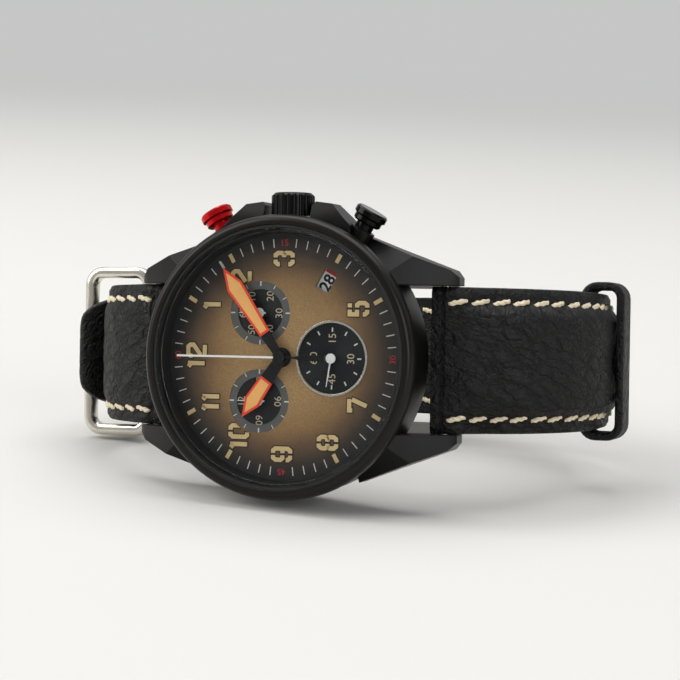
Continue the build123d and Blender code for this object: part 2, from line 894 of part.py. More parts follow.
def strap_6():
    """The 6 o'clock half: round the right of the loop, out through the buckle, over the other half."""
    right, left = right_run(), left_run()
    sections = []
    count = 12
    thinning_starts_share, thinning_share = 0.5, 0.3
    covered = right.length - buckle_reach
    for step in range(count + 1):
        distance = covered * step / count
        thick = strap_end_thick + (strap_thick - strap_end_thick) * blend(distance / lug_neck_length)
        thinned = blend((distance / right.length - thinning_starts_share) / thinning_share)
        thick += (strap_tail_thick - thick) * thinned
        width = strap_width + (strap_buckle_width - strap_width) * blend(distance / right.length)
        sections.append(strap_section(*right.at(distance), 1, width, thick))
    cover = left.length - tail_release
    for step in range(count + 1):
        travelled = cover * step / count
        distance = left.length - travelled
        lift = short_half_thickness(distance, left.length) + layer_gap
        width = strap_buckle_width + (strap_tail_width - strap_buckle_width) * blend(travelled / cover)
        place = lifted(*left.at(distance), -1, lift)
        sections.append(strap_section(*place, -1, width, strap_tail_thick))
    x, w, heading = place
    tip = Run(x, w, heading + 180, [(tail_tip_length, tail_flare)], -1)
    for along_share, narrow_share in ((0.35, 0.5), (0.7, 0.85), (0.93, 1), (1, 1.2)):
        x, w, heading = tip.at(tail_tip_length * along_share)
        width = strap_tail_width + (tail_tip_width - strap_tail_width) * narrow_share
        sections.append(strap_section(x, w, heading - 180, -1, width, strap_tail_thick))
    body = loft(sections)
    body += strap_end(1)
    body -= bar_hole(bar_x, bar_z)
    body -= tongue_pin(loose_gap * 1.5)
    for step in range(hole_count):
        distance = left.length - fixed_keeper_place / 2 - hole_pitch * step
        x, w, heading = left.at(distance)
        hole = Rot(0, -heading - 90, 0) * Cylinder(hole_radius, strap_thick * 2)
        lift = short_half_thickness(distance, left.length) + layer_gap + strap_tail_thick / 2
        x, w, heading = lifted(x, w, heading, -1, lift)
        body -= Pos(x, 0, -w) * hole
    return body


def frame_slope():
    """The buckle frame's angle from its pivot out to the far bar, in radians."""
    x, z = buckle_axis()
    return math.atan2(z - far_bar_z(), buckle_reach)


def tongue_slope():
    """The tongue's angle in degrees, lying on the near edge of the far bar."""
    near = buckle_reach / math.cos(frame_slope()) - buckle_bar / 2
    off = buckle_thick / 2 + press_gap * 2
    lie = math.atan2(off, near) + math.asin(tongue_thick / 2 / math.hypot(off, near))
    return math.degrees(frame_slope() + lie)


def tongue_pin(room):
    """The tongue's pin with some room round it, at its slope from the pivot."""
    x, z = buckle_axis()
    length = buckle_reach / math.cos(frame_slope()) + tongue_overhang
    start = tongue_eye_radius - tongue_thick / 2
    pin = Box(length - start + room, tongue_width + room * 2, tongue_thick + room * 2)
    return Pos(x, 0, z) * Rot(0, tongue_slope(), 0) * Pos((length + start) / 2, 0, 0) * pin


def buckle_tongue():
    x, z = buckle_axis()
    eye = Rot(90, 0, 0) * Cylinder(tongue_eye_radius, tongue_width)
    body = Pos(x, 0, z) * eye + tongue_pin(0)
    return body - Pos(x, 0, z) * Rot(90, 0, 0) * Cylinder(bar_radius + run_gap, strap_width)


def buckle_frame():
    """A U of flat steel: two arms on the spring bar and a far bar over the long half."""
    x, z = buckle_axis()
    length = buckle_ear + buckle_reach / math.cos(frame_slope()) + buckle_bar / 2
    middle = length / 2 - buckle_ear
    outer = RectangleRounded(length, buckle_height, buckle_corner)
    opening = Rectangle(length, buckle_span)
    outline = outer - Pos(-buckle_bar, 0, 0) * opening
    body = Pos(middle, 0, -buckle_thick / 2) * extrude(outline, buckle_thick)
    body -= Rot(90, 0, 0) * Cylinder(bar_tip_radius + run_gap, buckle_span + bar_tip_length * 2)
    return Pos(x, 0, z) * Rot(0, math.degrees(frame_slope()), 0) * body


def buckle_bar_piece():
    x, z = buckle_axis()
    return Pos(x, 0, z) * spring_bar(buckle_span, bar_tip_length)


def lug_bar(side):
    return Pos(side * bar_x, 0, bar_z) * spring_bar(lug_gap, bar_tip_length)


def band(inner_x, inner_y, wall, width, corner):
    """A closed flat ring along Z with rounded corners."""
    outer = RectangleRounded(inner_x + wall * 2, inner_y + wall * 2, corner)
    inner = RectangleRounded(inner_x, inner_y, corner - wall)
    return Pos(0, 0, -width / 2) * extrude(outer - inner, width)


def steel_ring():
    """The steel ring round both halves at the left flank."""
    inner_x, inner_y = ring_depth - ring_bar * 2, ring_height_outer - ring_bar * 2
    near = -loop_left_x + layer_gap
    body = band(inner_x, inner_y, ring_bar, ring_width, ring_corner)
    return Pos(near - inner_x / 2, 0, -ring_place) * body


def loose_keeper():
    """The leather keeper round the 6 o'clock half at the right flank."""
    inner_x = strap_thick + layer_gap + keeper_slack
    inner_y = strap_width + keeper_slack
    near = loop_right_x - layer_gap
    keeper = band(inner_x, inner_y, keeper_wall, keeper_width, keeper_corner)
    return Pos(near + inner_x / 2, 0, -keeper_place) * keeper


def fixed_keeper():
    """The leather keeper beside the buckle, round both halves."""
    inner_z = strap_buckle_thick + strap_tail_thick + layer_gap * 4
    inner_y = strap_width + keeper_slack / 2
    near = loop_depth - layer_gap
    keeper = Rot(0, 90, 0) * band(inner_z, inner_y, keeper_wall, fixed_keeper_width, keeper_corner)
    return Pos(buckle_place - fixed_keeper_place, 0, -near - inner_z / 2) * keeper


# The watch lies on the rim of its case, on the buckle and on the steel ring

def resting_turns():
    """Roll and lean at which rim, buckle corner and ring corner touch one plane."""
    rim_w = -case_bottom - band_chamfer
    x, z = buckle_axis()
    slope = frame_slope()
    reach = buckle_reach / math.cos(slope) + buckle_bar / 2 - buckle_corner
    buckle_x = x + reach * math.cos(slope) - buckle_thick / 2 * math.sin(slope)
    buckle_w = -z + reach * math.sin(slope) + buckle_thick / 2 * math.cos(slope)
    ring_x = -loop_left_x + layer_gap + ring_bar - ring_depth + ring_corner
    ring_w = ring_place + ring_width / 2

    def lean_on(x, half, w, roll):
        return (band_radius + x * math.sin(roll) - half * math.cos(roll)) / (w - rim_w)

    low, high = -math.pi / 8, math.pi / 8
    for step in range(40):
        roll = (low + high) / 2
        on_buckle = lean_on(buckle_x, buckle_height / 2, buckle_w, roll)
        on_ring = lean_on(ring_x, ring_height_outer / 2, ring_w, roll)
        if on_ring > on_buckle:
            low = roll
        else:
            high = roll
    return math.degrees(roll), math.degrees(math.atan(on_buckle))


def pieces():
    """Every node, drawn on the bench."""
    yield "case_middle", case_middle()
    yield "bezel", bezel()
    yield "crystal", crystal()
    yield "crystal_gasket", crystal_gasket()
    yield "rehaut_ring", rehaut()
    yield "case_back", case_back()
    yield "case_back_gasket", back_gasket()
    yield "crown", crown()
    yield "crown_tube", crown_tube()
    yield "winding_stem", winding_stem()
    yield "crown_gasket", crown_gasket()
    yield "setting_lever", setting_lever()
    for name, side in (("start", -1), ("reset", 1)):
        turn = side * pusher_angle
        yield name + "_pusher", pusher(turn)
        yield name + "_pusher_tube", pusher_tube(turn)
        yield name + "_pusher_spring", pusher_spring(turn)
        yield name + "_pusher_clip", pusher_clip(turn)
    yield "dial", dial()
    yield "minute_counter_plate", sub_plate(2, counter_radius)
    yield "hour_counter_plate", sub_plate(10, counter_radius)
    yield "small_seconds_plate", sub_plate(6, seconds_radius)
    yield "minute_counter_ring", counter_ring(2)
    yield "hour_counter_ring", counter_ring(10)
    yield "small_seconds_ring", seconds_ring()
    yield "hour_hand", hour_hand()
    yield "minute_hand", minute_hand()
    yield "chrono_seconds_hand", chrono_seconds_hand()
    seconds_turn = hour_turn(seconds_shown / 5)
    yield "small_seconds_hand", sub_hand(seconds_hand_length, seconds_hand_tail, 6, seconds_turn)
    yield "minute_counter_hand", sub_hand(counter_hand_length, counter_hand_tail, 2, 0)
    yield "hour_counter_hand", sub_hand(counter_hand_length, counter_hand_tail, 10, 0)
    yield "hour_wheel", hour_wheel()
    yield "cannon_pinion", cannon_pinion()
    yield "chrono_arbor", chrono_arbor()
    yield "small_seconds_arbor", sub_arbor(6)
    yield "minute_counter_arbor", sub_arbor(2)
    yield "hour_counter_arbor", sub_arbor(10)
    yield "date_disc", date_disc()
    yield "main_plate", main_plate()
    yield "movement_holder", movement_holder()
    yield "circuit_board", circuit_board()
    yield "battery", battery()
    yield "battery_clamp", battery_clamp()
    yield "drive_coils", Compound(children=[coil(index) for index in range(2)])
    yield "train_bridge", train_bridge()
    yield "step_rotor", rotor()
    yield "movement_screws", Compound(children=[movement_screw(share) for share in screw_angles_shares])
    yield "strap_half_12", strap_12()
    yield "strap_half_6", strap_6()
    yield "lug_spring_bars", Compound(children=[lug_bar(side) for side in (-1, 1)])
    yield "buckle_spring_bar", buckle_bar_piece()
    yield "buckle_frame", buckle_frame()
    yield "buckle_tongue", buckle_tongue()
    yield "fixed_keeper", fixed_keeper()
    yield "steel_ring", steel_ring()
    yield "loose_keeper", loose_keeper()


def main():
    os.makedirs("parts", exist_ok=True)
    roll, lean = resting_turns()
    stood = {name: Rot(90 - lean, 0, 0) * Rot(0, 0, roll) * shape for name, shape in pieces()}
    boxes = [shape.bounding_box() for shape in stood.values()]
    low = [min(axis) for axis in zip(*(tuple(box.min) for box in boxes))]
    high = [max(axis) for axis in zip(*(tuple(box.max) for box in boxes))]
    shift = Vector(-(low[0] + high[0]) / 2, -(low[1] + high[1]) / 2, -low[2])
    print(f"roll {roll:.6f} lean {lean:.6f} shift {shift.X:.6f} {shift.Y:.6f} {shift.Z:.6f}")
    for name, shape in stood.items():
        export_step(Pos(shift) * shape, f"parts/{name}.step")


main()
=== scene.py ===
"""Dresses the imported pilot's chronograph: coatings, dial printing, hands, leather, stitching and studio."""

import json
import logging
from dataclasses import dataclass
from functools import lru_cache
from typing import Callable

import bmesh
import bpy
import numpy as np
from mathutils import Matrix, Vector


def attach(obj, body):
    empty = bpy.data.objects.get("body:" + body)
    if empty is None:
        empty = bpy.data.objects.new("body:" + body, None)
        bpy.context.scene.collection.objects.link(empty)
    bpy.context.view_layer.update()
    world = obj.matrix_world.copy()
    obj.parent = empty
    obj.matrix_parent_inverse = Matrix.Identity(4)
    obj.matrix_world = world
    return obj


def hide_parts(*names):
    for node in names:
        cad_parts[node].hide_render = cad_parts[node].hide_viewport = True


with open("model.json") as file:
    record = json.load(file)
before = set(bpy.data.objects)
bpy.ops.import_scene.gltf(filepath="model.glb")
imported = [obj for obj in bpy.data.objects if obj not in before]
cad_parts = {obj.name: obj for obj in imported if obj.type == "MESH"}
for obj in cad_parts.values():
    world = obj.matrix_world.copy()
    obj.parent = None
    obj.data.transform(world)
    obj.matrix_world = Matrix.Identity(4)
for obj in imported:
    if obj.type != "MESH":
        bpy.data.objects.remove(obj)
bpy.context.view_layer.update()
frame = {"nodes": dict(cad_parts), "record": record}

log = logging.getLogger("pilot_watch")
Array = np.ndarray
Pair = tuple[float, float]
Triple = tuple[float, float, float]
Colour = Triple
MM = 0.001


def tint(red: float, green: float, blue: float) -> Colour:
    """A colour as seen on a screen, 0 to 255, made linear.

    Args:
        red, green, blue: the screen values.

    Returns:
        The linear colour: each share of 255 raised to 2.2.
    """
    return tuple((value / 255) ** 2.2 for value in (red, green, blue))


@dataclass(frozen=True)
class Bench:
    """The watch's own frame: X to 6 o'clock, Y to the crown, Z out of the dial, in mm."""

    roll: float = 4.126877
    lean: float = 9.688019
    shift: Triple = (-0.080719, -21.123331, 21.672546)

    def turn(self) -> Array:
        """The rotation into the row frame: the roll about Z, then the watch is stood up about X."""
        roll, rise = np.radians(self.roll), np.radians(90 - self.lean)
        about_z = np.array([[np.cos(roll), -np.sin(roll), 0], [np.sin(roll), np.cos(roll), 0], [0, 0, 1]])
        about_x = np.array([[1, 0, 0], [0, np.cos(rise), -np.sin(rise)], [0, np.sin(rise), np.cos(rise)]])
        return about_x @ about_z

    def to_row(self, points: Array) -> Array:
        """Bench points in mm as row points in metres."""
        return (np.asarray(points, float) @ self.turn().T + np.array(self.shift)) * MM


BENCH = Bench()


def operator(kind: str, swapped: bool = False) -> "Callable[[Sock, Sock | float], Sock]":
    """An operator of Sock, which adds a Math node.

    Args:
        kind: the node's operation.
        swapped: the other value comes first.

    Returns:
        The method.
    """
    def method(this: "Sock", other: "Sock | float") -> "Sock":
        """The node on both values."""
        return this.math(kind, other, this) if swapped else this.math(kind, this, other)
    return method


class Sock:
    """One value in a material. Python's operators on it add Math nodes."""

    __add__, __radd__ = operator("ADD"), operator("ADD", swapped=True)
    __sub__, __rsub__ = operator("SUBTRACT"), operator("SUBTRACT", swapped=True)
    __mul__, __rmul__ = operator("MULTIPLY"), operator("MULTIPLY", swapped=True)
    __truediv__, __pow__ = operator("DIVIDE"), operator("POWER")

    def __init__(self, paint: "Paint", socket: bpy.types.NodeSocket) -> None:
        """Keeps the material it belongs to and the socket that gives it."""
        self.paint = paint
        self.socket = socket

    def math(self, operation: str, *values: "Sock | float") -> "Sock":
        """A Math node of that operation on these values."""
        return self.paint.node("Math", dict(enumerate(values)), operation=operation)

    def clamped(self) -> "Sock":
        """self held between 0 and 1."""
        return self.paint.node("Clamp", {0: self})

    def between(self, low: float, high: float) -> "Sock":
        """A smooth rise from 0 at low to 1 at high."""
        return self.paint.node("MapRange", {"Value": self, "From Min": low, "From Max": high},
                               interpolation_type="SMOOTHSTEP")


class Paint:
    """Builds one material's nodes."""

    def __init__(self, name: str) -> None:
        """Starts an empty material."""
        self.material = bpy.data.materials.new(name)
        self.material.use_nodes = True
        self.tree = self.material.node_tree
        self.tree.nodes.clear()

    def node(self, kind: str, values: dict | None = None, out: int | str = 0, **settings: object) -> Sock:
        """Adds any node.

        Args:
            kind: the node's type, without ShaderNode.
            values: its sockets by number or name, each a number, a colour or a link.
            out: the output that is wanted.
            settings: its own properties, and a ramp's stops as pairs of place and colour.

        Returns:
            That output, wrapped.
        """
        made = self.tree.nodes.new("ShaderNode" + kind)
        for key, value in settings.items():
            if key == "stops":
                self.set_stops(made.color_ramp, value)
            else:
                setattr(made, key, value)
        for key, value in (values or {}).items():
            if isinstance(value, Sock):
                self.tree.links.new(value.socket, made.inputs[key])
            else:
                made.inputs[key].default_value = value
        return Sock(self, made.outputs[out])

    @staticmethod
    def set_stops(ramp: bpy.types.ColorRamp, stops: list[tuple[float, Colour]]) -> None:
        """Gives a colour ramp its stops, first and last on the two that it has."""
        ends = ramp.elements[0], ramp.elements[1]
        for element, (place, colour) in zip(ends, (stops[0], stops[-1])):
            element.position = place
            element.color = (*colour, 1)
        for place, colour in stops[1:-1]:
            ramp.elements.new(place).color = (*colour, 1)

    def bench(self) -> Sock:
        """Object coordinates turned back into the bench frame, in mm."""
        at = self.node("TexCoord", out="Object")
        back = BENCH.turn().T
        turn = Matrix(back.tolist()).to_euler("XYZ")
        start = -back @ np.array(BENCH.shift)
        return self.node("Mapping", {"Vector": at, "Location": tuple(start), "Rotation": tuple(turn),
                                     "Scale": (1 / MM,) * 3})

    def moved(self, vector: Sock, scale: Triple, turn: Triple = (0, 0, 0), move: Triple = (0, 0, 0)) -> Sock:
        """A vector scaled, turned in degrees and moved."""
        return self.node("Mapping", {"Vector": vector, "Location": move, "Scale": scale,
                                     "Rotation": tuple(np.radians(turn))})

    def parts(self, vector: Sock) -> list[Sock]:
        """The X, Y and Z of a vector."""
        made = self.node("SeparateXYZ", {0: vector})
        return [Sock(self, output) for output in made.socket.node.outputs]

    def noise(self, vector: Sock, scale: float, detail: float = 3.0, rough: float = 0.55) -> Sock:
        """Noise around 0.5."""
        return self.node("TexNoise", {"Vector": vector, "Scale": scale, "Detail": detail,
                                      "Roughness": rough})

    def cells(self, vector: Sock, scale: float, feature: str = "F1") -> Sock:
        """Distances in a pattern of cells."""
        return self.node("TexVoronoi", {"Vector": vector, "Scale": scale}, "Distance", feature=feature)

    def mix(self, share: Sock | float, first: Sock | Colour, second: Sock | Colour) -> Sock:
        """A colour between two."""
        values = {0: share}
        for place, colour in ((6, first), (7, second)):
            values[place] = colour if isinstance(colour, Sock) else (*colour, 1)
        return self.node("Mix", values, 2, data_type="RGBA")

    def ramp(self, share: Sock, stops: list[tuple[float, Colour]]) -> Sock:
        """A colour from a ramp."""
        return self.node("ValToRGB", {0: share}, stops=stops)

    def round_edges(self, radius_mm: float) -> Sock:
        """Normals that round a machined edge by that radius."""
        return self.node("Bevel", {"Radius": radius_mm * MM}, samples=4)

    def relief(self, height: Sock, depth_mm: float, strength: float = 1.0,
               normal: Sock | None = None) -> Sock:
        """Normals that follow a height of that depth."""
        values = {"Height": height, "Distance": depth_mm * MM, "Strength": strength}
        if normal:
            values["Normal"] = normal
        return self.node("Bump", values)

    def shade(self, colour: Sock | Colour, roughness: Sock | float,
              **others: "Sock | float") -> bpy.types.Material:
        """Ends the material in the usual metal and plastic shader.

        Args:
            colour: the base colour.
            roughness: its roughness.
            others: more sockets by name, with _ for a space.

        Returns:
            The finished material.
        """
        values = {"Base Color": colour if isinstance(colour, Sock) else (*colour, 1), "Roughness": roughness}
        values.update({key.replace("_", " "): value for key, value in others.items()})
        shader = self.node("BsdfPrincipled", values)
        return self.finish(shader)

    def finish(self, shader: Sock) -> bpy.types.Material:
        """Links a shader to the material's output."""
        made = self.tree.nodes.new("ShaderNodeOutputMaterial")
        self.tree.links.new(shader.socket, made.inputs["Surface"])
        return self.material


@dataclass(frozen=True)
class Finish:
    """A plain finish: a colour, a gloss and a fine grain. Other kinds add their own pattern."""

    name: str
    colour: Colour
    roughness: float
    metallic: float = 0.0
    grain_mm: float = 0.25
    edge_mm: float = 0.0

    def shades(self, paint: Paint, share: Sock, spread: float) -> Sock:
        """The colour, darker and lighter by a spread."""
        dark = tuple(value * (1 - spread) for value in self.colour)
        light = tuple(min(value * (1 + spread), 1.0) for value in self.colour)
        return paint.mix(share, dark, light)

    def edges(self, paint: Paint) -> Sock | None:
        """Rounded edges, where the finish has them."""
        return paint.round_edges(self.edge_mm) if self.edge_mm else None

    def material(self) -> bpy.types.Material:
        """Builds the material: a slow stain and a fine grain in colour, gloss and relief."""
        paint = Paint(self.name)
        at = paint.bench()
        stain = paint.noise(at, 0.35)
        grain = paint.noise(at, 1 / self.grain_mm, 2.0)
        rough = self.roughness * 0.85 + stain * (self.roughness * 0.2) + grain * (self.roughness * 0.1)
        normal = paint.relief(grain, 0.01, 0.35, self.edges(paint))
        return paint.shade(self.shades(paint, stain * 0.6 + grain * 0.4, 0.16), rough, Metallic=self.metallic,
                           Normal=normal)


@dataclass(frozen=True)
class Brushed(Finish):
    """Metal with fine lines along an axis of the bench."""

    lines: Triple = (0.4, 14.0, 14.0)

    def material(self) -> bpy.types.Material:
        """Builds the material: noise drawn out along one way is the brushing."""
        paint = Paint(self.name)
        at = paint.bench()
        line = paint.noise(paint.moved(at, self.lines), 1.0, 2.0)
        stain = paint.noise(at, 0.3)
        rough = self.roughness * 0.8 + line * (self.roughness * 0.35) + stain * 0.04
        normal = paint.relief(line, 0.004, 0.5, self.edges(paint))
        colour = self.shades(paint, line * 0.5 + stain * 0.5, 0.12)
        return paint.shade(colour, rough, Metallic=1.0, Normal=normal)


@dataclass(frozen=True)
class DialBronze(Finish):
    """Grained bronze that is light in the middle and burnt to black at the rim."""

    radius_mm: float = 19.25

    def material(self) -> bpy.types.Material:
        """Builds the material: the distance from the dial's centre picks the colour, speckled by grain."""
        paint = Paint(self.name)
        at = paint.bench()
        x, y, _ = paint.parts(at)
        away = ((x * x + y * y) ** 0.5) / self.radius_mm
        slow = paint.noise(at, 0.22, 2.0)
        speck = paint.noise(at, 7.0, 3.0, 0.7)
        coarse = paint.noise(at, 2.6, 3.0, 0.6)
        share = (away + (slow - 0.5) * 0.07 + (speck - 0.5) * 0.1 + (coarse - 0.5) * 0.05).clamped()
        burnt = paint.ramp(share, [(0.0, tint(176, 141, 96)), (0.38, tint(168, 133, 88)),
                                   (0.58, tint(146, 112, 72)), (0.72, tint(100, 75, 50)),
                                   (0.84, tint(54, 41, 31)), (0.93, tint(24, 20, 18)),
                                   (1.0, tint(12, 11, 11))])
        light = paint.mix(speck.between(0.36, 0.66), (0.62, 0.6, 0.56), (1.0, 1.0, 1.0))
        toned = paint.node("Mix", {0: 1.0, 6: burnt, 7: light}, 2, data_type="RGBA", blend_type="MULTIPLY")
        normal = paint.relief(speck * 0.6 + coarse * 0.4, 0.03, 0.5)
        rough = self.roughness + (speck - 0.5) * 0.2
        return paint.shade(toned, rough, Metallic=self.metallic, Normal=normal)


@dataclass(frozen=True)
class Sunburst(Finish):
    """Black lacquer over rays that run out from a centre on the bench, with a painted sheen lighter in two
    opposite sectors.
    """

    centre: Pair = (0.0, 0.0)
    rings: float = 0.0

    def material(self) -> bpy.types.Material:
        """Builds the material: noise on the angle round the centre makes rays, on the distance rings, and a
        cosine of twice the angle paints a sheen into the colour.
        """
        paint = Paint(self.name)
        at = paint.bench()
        x, y, _ = paint.parts(at)
        x, y = x - self.centre[0], y - self.centre[1]
        angle = y.math("ARCTAN2", y, x)
        away = (x * x + y * y) ** 0.5
        spoke = paint.node("CombineXYZ", {0: angle * 9.0, 1: away * 0.08})
        ray = paint.noise(spoke, 1.0, 4.0, 0.7)
        # painted sheen: two opposite sectors of the lacquer are lighter, as if they caught a lamp
        wide = angle.math("COSINE", angle * 2.0 - 1.1) * 0.5 + 0.5
        groove = away.math("SINE", away * (self.rings * 2 * np.pi)) * 0.5 + 0.5
        # colour share: the painted sheen of those sectors, plus the real rays and rings
        share = (wide ** 3.0) * 0.55 + ray * 0.35 + groove * 0.1
        height = groove if self.rings else ray
        normal = paint.relief(height, 0.012, 0.5)
        rough = self.roughness + (ray - 0.5) * 0.22
        light = tuple(value * 3.4 for value in self.colour)
        return paint.shade(paint.mix(share, self.colour, light), rough, Metallic=self.metallic, Normal=normal)


@dataclass(frozen=True)
class Leather(Finish):
    """Pebbled leather with slanting creases. It follows the piece's own 'along' coordinates, in mm."""

    pebble_mm: float = 1.9
    crease_mm: float = 5.0
    depth_mm: float = 0.36
    slant: float = 30.0

    def material(self) -> bpy.types.Material:
        """Builds the material: warped cells drawn out on a slant are pebbles, their borders creases. The
        colour paints light on the pebble tops and shade in their borders and the creases, over a real stain.
        """
        paint = Paint(self.name)
        at = paint.node("Attribute", out="Vector", attribute_name="along")
        warp = paint.node("TexNoise", {"Vector": at, "Scale": 0.7, "Detail": 2.0}, "Color")
        warped = paint.node("VectorMath", {0: warp, 1: (1.5, 1.5, 1.5), 2: at}, operation="MULTIPLY_ADD")
        turned = paint.moved(warped, (1.0, 1.0, 1.0), (0, 0, self.slant))
        slant = paint.moved(turned, (0.66, 1.3, 1.0))
        pebble = paint.cells(slant, 1 / self.pebble_mm, "DISTANCE_TO_EDGE").between(0.0, 0.2)
        small = paint.cells(warped, 2.6 / self.pebble_mm, "DISTANCE_TO_EDGE").between(0.0, 0.24)
        fold = paint.moved(turned, (0.5 / self.crease_mm, 2.2 / self.crease_mm, 1.0))
        crease = paint.cells(fold, 1.0, "DISTANCE_TO_EDGE").between(0.0, 0.07)
        pore = paint.noise(at, 5.0, 3.0, 0.65)
        height = pebble * 0.46 + small * 0.16 + crease * 0.36 + pore * 0.12
        stain = paint.noise(at, 0.16, 3.0)
        # painted light and shade: pebble tops lighter, pebble borders and creases darker, mixed with the real
        # slow stain
        painted_ridge_light_and_stain = (pebble * 0.55 + crease * 0.25 + (stain - 0.5) * 0.7).clamped()
        # the lit and the shaded tone of the leather, for that painted light and shade
        light = tuple(value * 1.7 + 0.001 for value in self.colour)
        dark = tuple(value * 0.35 for value in self.colour)
        rough = self.roughness + (1 - height) * 0.2 + (stain - 0.5) * 0.12
        normal = paint.relief(height, self.depth_mm)
        return paint.shade(paint.mix(painted_ridge_light_and_stain, dark, light), rough, Metallic=0.0, Normal=normal,
                           Specular_IOR_Level=0.26)


@dataclass(frozen=True)
class Thread(Finish):
    """Waxed thread, with painted shade in the hollows between its plies."""

    ply_mm: float = 0.5

    def material(self) -> bpy.types.Material:
        """Builds the material: a fine slanted wave for the fibres, whose low bands darken the colour as
        painted shade, and a slow stain.
        """
        paint = Paint(self.name)
        at = paint.bench()
        fibre = paint.node("TexWave", {"Vector": at, "Scale": 0.5 / self.ply_mm, "Distortion": 3.0,
                                       "Detail": 2.0}, bands_direction="DIAGONAL")
        stain = paint.noise(at, 1.4)
        # painted shade: the colour is darker where the fibre wave is low, in the hollows of its relief; the
        # stain is the thread's own tone
        share = fibre * 0.35 + stain * 0.65
        normal = paint.relief(fibre, 0.03, 0.6)
        rough = self.roughness + (stain - 0.5) * 0.1
        return paint.shade(self.shades(paint, share, 0.34), rough, Normal=normal)


@dataclass(frozen=True)
class Clear(Finish):
    """Glass that only adds a faint reflection to what lies under it."""

    mirror: float = 0.2

    def material(self) -> bpy.types.Material:
        """Builds the material: clear, with a shiny coat where the surface is seen at a slant."""
        paint = Paint(self.name)
        at = paint.bench()
        slanted = paint.node("Fresnel", {"IOR": 1.45})
        smear = paint.noise(at, 0.12, 2.0)
        through = paint.node("BsdfTransparent", {0: (0.97, 0.98, 0.98, 1)})
        shine = paint.node("BsdfPrincipled", {
            "Base Color": (*self.colour, 1), "Roughness": self.roughness + smear * 0.03, "Metallic": 1.0})
        share = slanted * self.mirror
        return paint.finish(paint.node("MixShader", {0: share, 1: through, 2: shine}))


@lru_cache(maxsize=None)
def dressed(finish: Finish) -> bpy.types.Material:
    """The material of a finish, made once."""
    return finish.material()


def linked(name: str, data: bpy.types.ID) -> bpy.types.Object:
    """A new object with that data, put in the scene."""
    made = bpy.data.objects.new(name, data)
    bpy.context.scene.collection.objects.link(made)
    return made


def baked(piece: bpy.types.Object) -> bpy.types.Mesh:
    """A mesh of the object as it is seen, with its modifiers."""
    return bpy.data.meshes.new_from_object(piece.evaluated_get(bpy.context.evaluated_depsgraph_get()))


@dataclass
class Shell:
    """A surface: its points on the bench in mm and its faces by point number."""

    points: Array
    faces: list[list[int]]

    @classmethod
    def grid(cls, points: Array, loop: bool = True, ring: bool = False, capped: bool = False) -> "Shell":
        """Lays quads between the neighbours of a grid of points.

        Args:
            points: rows by columns by 3.
            loop: each row joins its own start.
            ring: the last row joins the first.
            capped: the first and last row are filled.

        Returns:
            The surface.
        """
        rows, columns = points.shape[:2]
        number = np.arange(rows * columns).reshape(rows, columns)
        wide = np.hstack([number, number[:, :1]]) if loop else number
        wide = np.vstack([wide, wide[:1]]) if ring else wide
        quads = np.stack([wide[:-1, :-1], wide[:-1, 1:], wide[1:, 1:], wide[1:, :-1]], axis=-1)
        faces = quads.reshape(-1, 4).tolist()
        if capped:
            faces += [number[0, ::-1].tolist(), number[-1].tolist()]
        return cls(points.reshape(-1, 3), faces)

    @classmethod
    def copies(cls, template: "Shell", places: Array) -> "Shell":
        """The template's faces over many point sets of the same order, n by points by 3."""
        count = len(places[0])
        faces = [[index + count * copy for index in face]
                 for copy in range(len(places)) for face in template.faces]
        return cls(places.reshape(-1, 3), faces)

    @classmethod
    def joined(cls, shells: "list[Shell]") -> "Shell":
        """Several surfaces as one."""
        starts = np.cumsum([0] + [len(shell.points) for shell in shells])
        faces = [[index + int(start) for index in face] for start, shell in zip(starts, shells)
                 for face in shell.faces]
        return cls(np.vstack([shell.points for shell in shells]), faces)

    def mesh(self, name: str) -> bpy.types.Mesh:
        """The surface as a mesh in the row frame."""
        made = bpy.data.meshes.new(name)
        made.from_pydata(BENCH.to_row(self.points).tolist(), [], self.faces)
        return made


def place(name: str, shell: Shell, body: str, slot: str, finish: Finish, nodes: tuple[str, ...] = (),
          smooth: float = 35.0, along: Array | None = None) -> bpy.types.Object:
    """Makes a surface into a piece of the watch.

    Args:
        name: the piece's name.
        shell: its surface, on the bench.
        body: the body that it rides on.
        slot: the record's material slot; not used.
        finish: its finish.
        nodes: the CAD nodes that it stands for.
        smooth: the angle in degrees up to which an edge is shaded round.
        along: coordinates in mm for a pattern that follows the surface.

    Returns:
        The object.
    """
    mesh = shell.mesh(name)
    if along is not None:
        mesh.attributes.new("along", "FLOAT_VECTOR", "POINT").data.foreach_set("vector", along.ravel())
    settle(mesh, smooth)
    return show(name, mesh, body, finish, nodes)


def settle(mesh: bpy.types.Mesh, smooth: float) -> None:
    """Turns the faces outwards and shades edges round up to an angle."""
    made = bmesh.new()
    made.from_mesh(mesh)
    bmesh.ops.remove_doubles(made, verts=made.verts, dist=0.002 * MM)
    bmesh.ops.recalc_face_normals(made, faces=made.faces)
    for edge in made.edges:
        edge.smooth = edge.calc_face_angle(0.0) < np.radians(smooth)
    for face in made.faces:
        face.smooth = True
    made.to_mesh(mesh)
    made.free()


def show(name: str, mesh: bpy.types.Mesh, body: str, finish: Finish,
         nodes: tuple[str, ...] = ()) -> bpy.types.Object:
    """Puts a finished mesh on its body with its material."""
    piece = linked(name, mesh)
    mesh.materials.clear()
    mesh.materials.append(dressed(finish))
    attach(piece, body)
    if nodes:
        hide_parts(*nodes)
    log.info("%s: %d faces on %s", name, len(mesh.polygons), body)
    return piece


def merged(node: str, name: str, body: str, finish: Finish,
           smooth: float = 32.0) -> bpy.types.Object:
    """A CAD node's shape with its facets shaded round, which stands for the node."""
    mesh = frame["nodes"][node].data.copy()
    settle(mesh, smooth)
    return show(name, mesh, body, finish, (node,))


